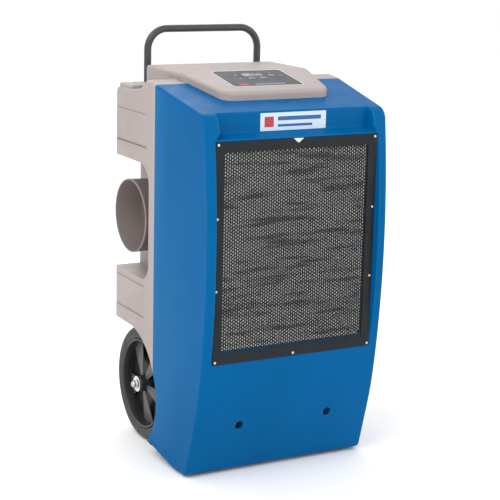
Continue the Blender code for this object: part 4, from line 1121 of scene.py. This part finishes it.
def intake_grille():
    """A punched sheet: each hole sits in a rectangular cell, alternate columns half a pitch apart."""
    mesh = bmesh.new()
    columns = int(2 * FIELD_HALF / COLUMN_PITCH)
    rows = int((FIELD_HIGH - FIELD_LOW) / HOLE_PITCH)
    left = -columns * COLUMN_PITCH / 2
    sides = 12
    back = GRILLE_Y + GRILLE_THICK
    half_x = COLUMN_PITCH / 2
    half_z = HOLE_PITCH / 2
    corners = []
    for k in range(sides):
        angle = 2 * math.pi * (k + 0.5) / sides
        c, s = math.cos(angle), math.sin(angle)
        reach = min(half_x / abs(c), half_z / abs(s))
        corners.append((HOLE_HALF_X * c, HOLE_HALF_Z * s, reach * c, reach * s))
    spots = [(half_x, half_z), (-half_x, half_z), (-half_x, -half_z), (half_x, -half_z)]
    for i in range(columns):
        x = left + (i + 0.5) * COLUMN_PITCH
        shift = half_z if i % 2 else 0.0
        for j in range(rows):
            z = FIELD_LOW + (j + 0.5) * HOLE_PITCH + shift
            rim = [mesh.verts.new((x + a, GRILLE_Y, z + b)) for a, b, _, _ in corners]
            deep = [mesh.verts.new((x + a, back, z + b)) for a, b, _, _ in corners]
            edge = [mesh.verts.new((x + c, GRILLE_Y, z + d)) for _, _, c, d in corners]
            extra = [mesh.verts.new((x + a, GRILLE_Y, z + b)) for a, b in spots]
            for k in range(sides):
                n = (k + 1) % sides
                face = [rim[k], rim[n], edge[n]]
                if on_different_sides(corners[k], corners[n], half_x):
                    face.append(extra[corner_between(corners[k], corners[n])])
                face.append(edge[k])
                mesh.faces.new(face)
                mesh.faces.new((rim[n], rim[k], deep[k], deep[n]))
    # Half cells fill the ragged ends of the columns, and four strips make the border.
    top = FIELD_LOW + rows * HOLE_PITCH
    for i in range(columns):
        x0 = left + i * COLUMN_PITCH
        low, high = (FIELD_LOW, FIELD_LOW + half_z) if i % 2 else (top, top + half_z)
        quad(mesh, x0, x0 + COLUMN_PITCH, low, high)
    right = left + columns * COLUMN_PITCH
    high = top + half_z
    quad(mesh, -GRILLE_HALF, left, GRILLE_LOW, GRILLE_HIGH)
    quad(mesh, right, GRILLE_HALF, GRILLE_LOW, GRILLE_HIGH)
    quad(mesh, left, right, GRILLE_LOW, FIELD_LOW)
    dip = GRILLE_HIGH - NOTCH_DEPTH
    quad(mesh, left, right, high, dip)
    for sign in (-1, 1):
        side = sign * -left
        points = [(0, dip), (sign * NOTCH_HALF, GRILLE_HIGH), (side, GRILLE_HIGH), (side, dip)]
        mesh.faces.new([mesh.verts.new((a, GRILLE_Y, b)) for a, b in points])
    for face in mesh.faces:
        if abs(face.normal.y) > 0.9 and face.normal.y > 0:
            face.normal_flip()
    grille = piece("intake_grille_sheet", mesh, GRILLE, "chassis", 35, False)
    outline = [(-GRILLE_HALF, GRILLE_LOW), (GRILLE_HALF, GRILLE_LOW), (GRILLE_HALF, GRILLE_HIGH)]
    outline += [(NOTCH_HALF, GRILLE_HIGH), (0, dip), (-NOTCH_HALF, GRILLE_HIGH)]
    outline += [(-GRILLE_HALF, GRILLE_HIGH)]
    edge_mesh = bmesh.new()
    for (a, b), (c, d) in zip(outline, outline[1:] + outline[:1]):
        points = [(a, GRILLE_Y, b), (c, GRILLE_Y, d), (c, back, d), (a, back, b)]
        edge_mesh.faces.new([edge_mesh.verts.new(p) for p in points])
    edge = piece("intake_grille_edge", edge_mesh, GRILLE, "chassis", 35, False)
    dress(grille, "intake_grille")


def on_different_sides(a, b, half_x):
    return (abs(abs(a[2]) - half_x) < 1e-9) != (abs(abs(b[2]) - half_x) < 1e-9)


def corner_between(a, b):
    x = a[2] + b[2]
    z = a[3] + b[3]
    if x > 0:
        return 0 if z > 0 else 3
    return 1 if z > 0 else 2


def quad(mesh, x0, x1, z0, z1):
    corners = ((x0, z0), (x1, z0), (x1, z1), (x0, z1))
    mesh.faces.new([mesh.verts.new((x, GRILLE_Y, z)) for x, z in corners])


def air_filter():
    """A shallow frame with a crimped mesh, and a pull tab that shows in the grille's notch."""
    low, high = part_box("air_filter")
    y = low.y
    middle = (low.z + high.z) / 2
    half = (high.z - low.z) / 2
    bar = 0.008
    outer = [(a, b + middle) for a, b in rounded_rectangle(high.x, half, 0.003)]
    inner = [(a, b + middle) for a, b in rounded_rectangle(high.x - bar, half - bar, 0.002)]
    rim = piece("air_filter_frame", ring_shape(outer, inner, y, high.y, "Y"), ZINC)
    mesh = bmesh.new()
    waves = 180
    across = spread(FILTER_X[0], FILTER_X[1] - 0.0006, waves + 1)
    rows = []
    for z in spread(*FILTER_Z, 40):
        rows.append([mesh.verts.new((x, FILTER_FACE + 0.0006 * (k % 2), z)) for k, x in enumerate(across)])
    bridge(mesh, rows, closed=False)
    mesh_piece = piece("air_filter_mesh", mesh, FILTER, "chassis", 20)
    (left, right), (low_z, high_z) = FILTER_X, FILTER_Z
    edges = (((0.1580, low_z), (right, high_z)), ((left, low_z), (right, 0.2945)))
    for i, ((x0, z0), (x1, z1)) in enumerate(edges):
        strip = soft_box((x0, FILTER_FACE - 0.0005, z0), (x1, FILTER_FACE + 0.0009, z1), 0.0003)
        piece(f"air_filter_edge_{i}", strip, WHITE_PLASTIC)
    dress(rim, "air_filter")
    tab_outline = [(-NOTCH_HALF, 0.7104), (NOTCH_HALF, 0.7104), (0.0020, 0.7015), (-0.0020, 0.7015)]
    tab = prism(tab_outline, -0.2212, -0.2206, "Y")
    piece("filter_pull_tab", tab, WHITE_PLASTIC)


def screw_heads():
    for name in NODES:
        if not name.startswith("grille_screw"):
            continue
        low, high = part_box(name)
        x = (low.x + high.x) / 2
        z = (low.z + high.z) / 2
        profile = [(0, -0.0026)]
        for k in range(1, 9):
            angle = math.radians(90 * k / 8)
            profile.append((0.0031 * math.sin(angle), -0.0003 - 0.0023 * math.cos(angle)))
        profile += [(0.0018, -0.0003), (0.0018, 0.0080), (0, 0.0090)]
        head = piece(f"{name}_head", turned(profile, 24, "Y"), SCREW, None)
        slot_tool = cutter("drive", box((-0.0022, -0.0035, -0.00035), (0.0022, -0.0019, 0.00035)))
        other = cutter("drive", box((-0.00035, -0.0035, -0.0022), (0.00035, -0.0019, 0.0022)))
        cut(head, [slot_tool, other])
        resharpen(head, 40)
        head.location = (x, GRILLE_Y, z)
        head.rotation_euler = (0, math.radians(37 * (len(name) + round(z * 90))), 0)
        dress(head, name, "chassis")


def label_plate():
    """A plate with no words: a plain square and plain bars."""
    low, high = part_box("label_plate")
    z = (low.z + high.z) / 2
    y = high.y
    outline = [(a, b + z) for a, b in rounded_rectangle(high.x, (high.z - low.z) / 2, 0.0012)]
    plate = piece("label_plate_face", prism(outline, y - 0.0006, y, "Y"), LABEL)
    dress(plate, "label_plate")
    marks = (
        ("label_square", -0.056, 0.000, 0.0105, 0.0105, LABEL_RED),
        ("label_bar_upper", 0.014, 0.006, 0.0500, 0.0040, LABEL_BLUE),
        ("label_bar_lower", 0.004, -0.008, 0.0400, 0.0026, LABEL_BLUE),
    )
    for name, x, up, half_x, half_z, finish in marks:
        mark = [(x + a, z + up + b) for a, b in rounded_rectangle(half_x, half_z, 0.0012)]
        piece(name, prism(mark, y - 0.0008, y - 0.0005, "Y"), finish)


# ---------------------------------------------------------------- handle

HANDLE_X = 0.136
HANDLE_Y = 0.2075
HANDLE_RADIUS = 0.008
CLAMP_SCREW_X = 0.0125


def handle():
    low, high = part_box("handle")
    top = high.z - HANDLE_RADIUS
    bend = 0.045
    points = [Vector((-HANDLE_X, HANDLE_Y, z)) for z in spread(low.z, top - bend, 12)]
    for k in range(1, 17):
        angle = math.radians(180 - 90 * k / 16)
        x = -HANDLE_X + bend + bend * math.cos(angle)
        points.append(Vector((x, HANDLE_Y, top - bend + bend * math.sin(angle))))
    points += [Vector((x, HANDLE_Y, top)) for x in spread(-HANDLE_X + bend, HANDLE_X - bend, 10)[1:]]
    points += [Vector((-p.x, p.y, p.z)) for p in reversed(points[:28])]
    mesh = bmesh.new()
    sides = 28
    depth = Vector((0, 1, 0))
    rings = []
    for i, point in enumerate(points):
        before = points[max(0, i - 1)]
        after = points[min(len(points) - 1, i + 1)]
        along_tube = (after - before).normalized()
        across = along_tube.cross(depth).normalized()
        ring = []
        for k in range(sides):
            angle = 2 * math.pi * k / sides
            outward = across * math.cos(angle) + depth * math.sin(angle)
            ring.append(mesh.verts.new(point + HANDLE_RADIUS * outward))
        rings.append(ring)
    bridge(mesh, rings)
    mesh.faces.new(rings[0])
    mesh.faces.new(rings[-1])
    tube = piece("handle_tube", mesh, HANDLE, "chassis", 50)
    dress(tube, "handle")
    for side, x in (("left", -HANDLE_X), ("right", HANDLE_X)):
        profile = [(0, 0), (0.0070, 0), (0.0079, -0.0012), (0.0079, -0.0040), (0.0060, -0.0052)]
        cap = turned([*profile, (0, -0.0056)], 28, "Z")
        obj = piece(f"handle_end_{side}", moved(cap, x, HANDLE_Y, low.z + 0.0056), BLACK_PLASTIC)


def handle_clamps():
    for name in NODES:
        if not name.startswith("handle_clamp"):
            continue
        low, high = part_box(name)
        clamp = piece(f"{name}_block", soft_box(low, high, 0.0028, 4), BLACK_PLASTIC, None)
        x = (low.x + high.x) / 2
        z = (low.z + high.z) / 2
        bore = rod(HANDLE_RADIUS + 0.0002, low.z - 0.01, high.z + 0.01, 40, "Z")
        tools = [cutter("bore", moved(bore, x, HANDLE_Y, 0))]
        for dx in (-CLAMP_SCREW_X, CLAMP_SCREW_X):
            counterbore = rod(0.0040, high.y - 0.0035, high.y + 0.01, 24, "Y")
            tools.append(cutter("counterbore", moved(counterbore, x + dx, 0, z)))
        cut(clamp, tools)
        resharpen(clamp, 35)
        dress(clamp, name, "chassis")
        for side, dx in (("a", -CLAMP_SCREW_X), ("b", CLAMP_SCREW_X)):
            profile = [(0, -0.0024), (0.0028, -0.0020), (0.0034, -0.0008), (0.0034, 0.002), (0, 0.002)]
            head = turned(profile, 24, "Y")
            head.transform(Matrix.Rotation(math.pi, 4, "Z"))
            obj = piece(f"{name}_screw_{side}", moved(head, x + dx, high.y - 0.0030, z), SCREW)


# ---------------------------------------------------------------- wheels


SPOKES = 5
SPOKE_ROOT = 0.014
SPOKE_TIP = 0.0950
SPOKE_LIP = 0.0022
AXLE_BORE = 0.0063
WEB_INNER = 0.0160
WEB_OUTER = 0.0930
WEB_X = (-0.0075, -0.0055)


def wheel(side, sign):
    body = f"wheel_{side}"
    half = WHEEL_WIDTH / 2
    centre = (sign * (WHEEL_OUT - half), WHEEL_Y, WHEEL_RADIUS)
    crown = [(0.0986, half * 0.66), (0.1005, half * 0.80), (0.1035, half * 0.93), (0.1080, half * 0.99)]
    crown += [(0.1095, half * 0.955), (0.1103, half * 0.955), (0.1115, half * 0.995), (0.1165, half * 0.97)]
    crown += [(0.1205, half * 0.89), (0.1235, half * 0.76), (0.1256, half * 0.58)]
    profile = list(crown)
    for h in (0.52, 0.30, 0.26, 0.04):
        profile.append((0.1263 if h > 0.4 else 0.1269, half * h))
    profile.append((WHEEL_RADIUS, 0.0))
    outline = rounded_profile(profile, 0.0012, 2)
    outline = outline + [(r, -h) for r, h in reversed(outline[:-1])]
    tyre = piece(f"tyre_{side}_rubber", turned(outline, 128), TYRE, None, 60)
    tyre.location = centre
    dress(tyre, f"tyre_{side}", body)
    ring = [(0.0982, half * 0.62), (0.0998, half * 0.80), (0.0990, half * 0.90), (0.0962, half * 0.92)]
    ring += [(0.0945, half * 0.84), (0.0925, half * 0.40), (0.0915, 0.0)]
    ring += [(0.0925, -half * 0.40), (0.0945, -half * 0.84), (0.0962, -half * 0.92), (0.0990, -half * 0.90)]
    ring += [(0.0998, -half * 0.80), (0.0982, -half * 0.62)]
    ring = rounded_profile(ring, 0.0010, 2)
    rim = piece(f"rim_{side}_ring", turned(ring, 128), RIM, None, 45)
    rim.location = centre
    dress(rim, f"rim_{side}", body)
    hub = [(AXLE_BORE, -0.026), (0.0150, -0.026), (0.0165, -0.024), (0.0175, -0.006)]
    hub += [(0.0200, 0.0), (0.0190, 0.010)]
    hub += [(0.0170, 0.024), (0.0155, 0.0272), (0.0120, 0.0278), (AXLE_BORE, 0.0278)]
    hub_mesh = turned(rounded_profile([*hub, hub[0]], 0.0008, 2)[:-1], 48, sign=sign)
    back, front = WEB_X
    web = [(WEB_INNER, back), (WEB_OUTER, back), (WEB_OUTER, front), (WEB_INNER, front)]
    web_mesh = turned(web, 96, sign=sign)
    spoke_mesh = bmesh.new()
    for k in range(SPOKES):
        turn = Matrix.Rotation(-math.pi / 2 + 2 * math.pi * k / SPOKES, 4, "X")
        add_spoke(spoke_mesh, turn, sign)
    parts = (
        ("hub", hub_mesh, RIM, 40),
        ("web", web_mesh, BLACK_PLASTIC, 30),
        ("spokes", spoke_mesh, SPOKE, 25),
    )
    for part, mesh, finish, smooth_to in parts:
        obj = piece(f"rim_{side}_{part}", mesh, finish, None, smooth_to)
        obj.location = centre
        dress(obj, body=body)


def add_spoke(mesh, turn, sign):
    """A V-section spoke that widens towards the rim: a ridge in front and two sloping faces."""
    sections = []
    for share in spread(0.0, 1.0, 7):
        radius = SPOKE_ROOT + (SPOKE_TIP - SPOKE_ROOT) * share
        half = 0.0050 + 0.0205 * share
        ridge = 0.0140 - 0.0125 * share
        wing = 0.0120 - 0.0125 * share
        under = wing - SPOKE_LIP
        points = [(0, ridge), (half, wing), (half, under), (0, ridge - 0.0045), (-half, under), (-half, wing)]
        ring = []
        for across, out in points:
            ring.append(mesh.verts.new(turn @ Vector((sign * out, radius, across))))
        sections.append(ring)
    bridge(mesh, sections)
    mesh.faces.new(sections[0])
    mesh.faces.new(sections[-1])


WASHER_PROFILE = (
    (AXLE_BORE, 0), (0.0172, 0), (0.0175, 0.0004), (0.0174, 0.0012),
    (0.0168, 0.0018), (0.0110, 0.0018), (0.0100, 0.0014), (AXLE_BORE, 0.0014),
)
CAP_PROFILE = (
    (0.0064, 0), (0.0092, 0), (0.0094, 0.0008), (0.0084, 0.0016), (0.0077, 0.0024), (0.0076, 0.0060),
    (0.0070, 0.0085), (0.0055, 0.0105), (0.0030, 0.0117), (0, 0.0120), (0, 0.0088), (0.0064, 0.0084),
)


def wheel_fittings():
    fittings = (
        ("hub_washer", "disc", WASHER_PROFILE, 64, ZINC, 35.0),
        ("axle_cap", "cup", CAP_PROFILE, 40, SCREW, 40),
    )
    for side, sign in (("left", -1), ("right", 1)):
        for stem, ending, profile, segments, finish, smooth_to in fittings:
            low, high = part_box(f"{stem}_{side}")
            x = low.x if sign > 0 else high.x
            mesh = moved(turned(profile, segments, sign=sign), x, WHEEL_Y, WHEEL_RADIUS)
            obj = piece(f"{stem}_{side}_{ending}", mesh, finish, "chassis", smooth_to)
            dress(obj, f"{stem}_{side}")


# ---------------------------------------------------------------- outlet and fittings


def duct_collar():
    low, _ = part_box("duct_collar")
    mouth = -low.x
    seat = RECESS_FLOOR + 0.0003
    root = DUCT_RADIUS - 0.0028
    neck = 0.0727
    outer = [(DUCT_RADIUS - 0.0022, mouth), (DUCT_RADIUS - 0.0004, mouth - 0.0002)]
    outer += [(DUCT_RADIUS, mouth - 0.0010)]
    outer += [(DUCT_RADIUS, mouth - 0.0050), (DUCT_RADIUS - 0.0007, mouth - 0.0060)]
    outer += [(root + 0.0006, seat + 0.004), (root + 0.0022, seat + 0.0015)]
    outer += [(root + 0.0024, seat), (neck, seat)]
    outer += [(neck, 0.1552), (neck - 0.0025, 0.1552), (neck - 0.0022, seat), (root - 0.0020, seat + 0.006)]
    outer += [(DUCT_RADIUS - 0.0030, mouth - 0.0020)]
    mesh = moved(turned(outer, 128, sign=-1), 0, DUCT_Y, DUCT_Z)
    obj = piece("duct_collar_tube", mesh, COLLAR, "chassis", 40)
    dress(obj, "duct_collar")


FINISHES = {
    "shell_blue": BLUE,
    "shell_tan": TAN,
    "panel_grey": PANEL,
    "display": DISPLAY,
    "button": BUTTON,
    "grille": GRILLE,
    "screw": SCREW,
    "filter": FILTER,
    "label": LABEL,
    "handle": HANDLE,
    "clamp": BLACK_PLASTIC,
    "tyre": TYRE,
    "rim": RIM,
    "zinc": ZINC,
    "coil": COIL,
    "copper": COPPER,
    "compressor": COMPRESSOR,
    "galvanised": GALVANISED,
    "black_plastic": BLACK_PLASTIC,
    "white_plastic": WHITE_PLASTIC,
    "board": BOARD,
    "rubber": TYRE,
    "brass": BRASS,
}


def finish_carried_nodes():
    """Every node that still shows gets its detailed finish."""
    slots = {entry["node"]: entry["material_slot"] for entry in frame["record"]["subparts"]}
    for name, obj in NODES.items():
        obj.data.materials.clear()
        obj.data.materials.append(FINISHES[slots[name]])


# ---------------------------------------------------------------- stage


def area_light(name, location, target, size, energy):
    data = bpy.data.lights.new(name, "AREA")
    data.shape = "RECTANGLE"
    data.size = size[0]
    data.size_y = size[1]
    data.energy = energy
    light = linked(name, data)
    light.location = location
    direction = Vector(target) - Vector(location)
    light.rotation_euler = direction.to_track_quat("-Z", "Y").to_euler()


def stage():
    floor_mesh = bmesh.new()
    bmesh.ops.create_grid(floor_mesh, x_segments=1, y_segments=1, size=14)
    floor_shader = Shader("floor_pale", (0.93, 0.93, 0.93), 0.85, 0.0, 0.1)
    floor_shader.vary_colour(3.0, 0.01)
    floor = piece("floor", floor_mesh, floor_shader.material, None)
    world = bpy.data.worlds.new("studio")
    bpy.context.scene.world = world
    world.use_nodes = True
    background = world.node_tree.nodes["Background"]
    background.inputs["Color"].default_value = (1.0, 1.0, 1.0, 1)
    background.inputs["Strength"].default_value = 1.10
    bpy.context.scene.view_settings.view_transform = "Standard"
    target = (0.0, 0.0, 0.45)
    area_light("key", (-2.2, -1.2, 3.0), target, (2.2, 2.2), 50)
    area_light("fill", (1.8, -3.2, 1.6), target, (2.4, 2.4), 20)
    area_light("rear", (0.5, 2.6, 2.8), target, (2.0, 2.0), 25)


CAMERA_AT = (-1.5076, -2.7646, 1.1376)
CAMERA_AZIMUTH = 28.86
CAMERA_PITCH = 12.57
CAMERA_ROLL = 1.346
CAMERA_LENS = 107.24


def camera():
    data = bpy.data.cameras.new("camera")
    data.lens = CAMERA_LENS
    data.sensor_width = 36.0
    data.clip_start = 0.1
    data.clip_end = 60.0
    obj = linked("camera", data)
    obj.location = CAMERA_AT
    azimuth = math.radians(CAMERA_AZIMUTH)
    pitch = math.radians(CAMERA_PITCH)
    roll = math.radians(CAMERA_ROLL)
    level = Vector((math.sin(azimuth), math.cos(azimuth), 0))
    ahead = level * math.cos(pitch) - Vector((0, 0, math.sin(pitch)))
    right = Vector((math.cos(azimuth), -math.sin(azimuth), 0))
    up = right.cross(ahead)
    x_axis = right * math.cos(roll) + up * math.sin(roll)
    y_axis = up * math.cos(roll) - right * math.sin(roll)
    matrix = Matrix((x_axis, y_axis, -ahead)).transposed().to_4x4()
    matrix.translation = obj.location
    obj.matrix_world = matrix
    bpy.context.scene.camera = obj


def main():
    finish_carried_nodes()
    front_shell()
    rear_shell()
    control_hood()
    control_panel()
    panel_details()
    intake_grille()
    air_filter()
    screw_heads()
    label_plate()
    handle()
    handle_clamps()
    wheel("left", -1)
    wheel("right", 1)
    wheel_fittings()
    duct_collar()
    stage()
    camera()


main()
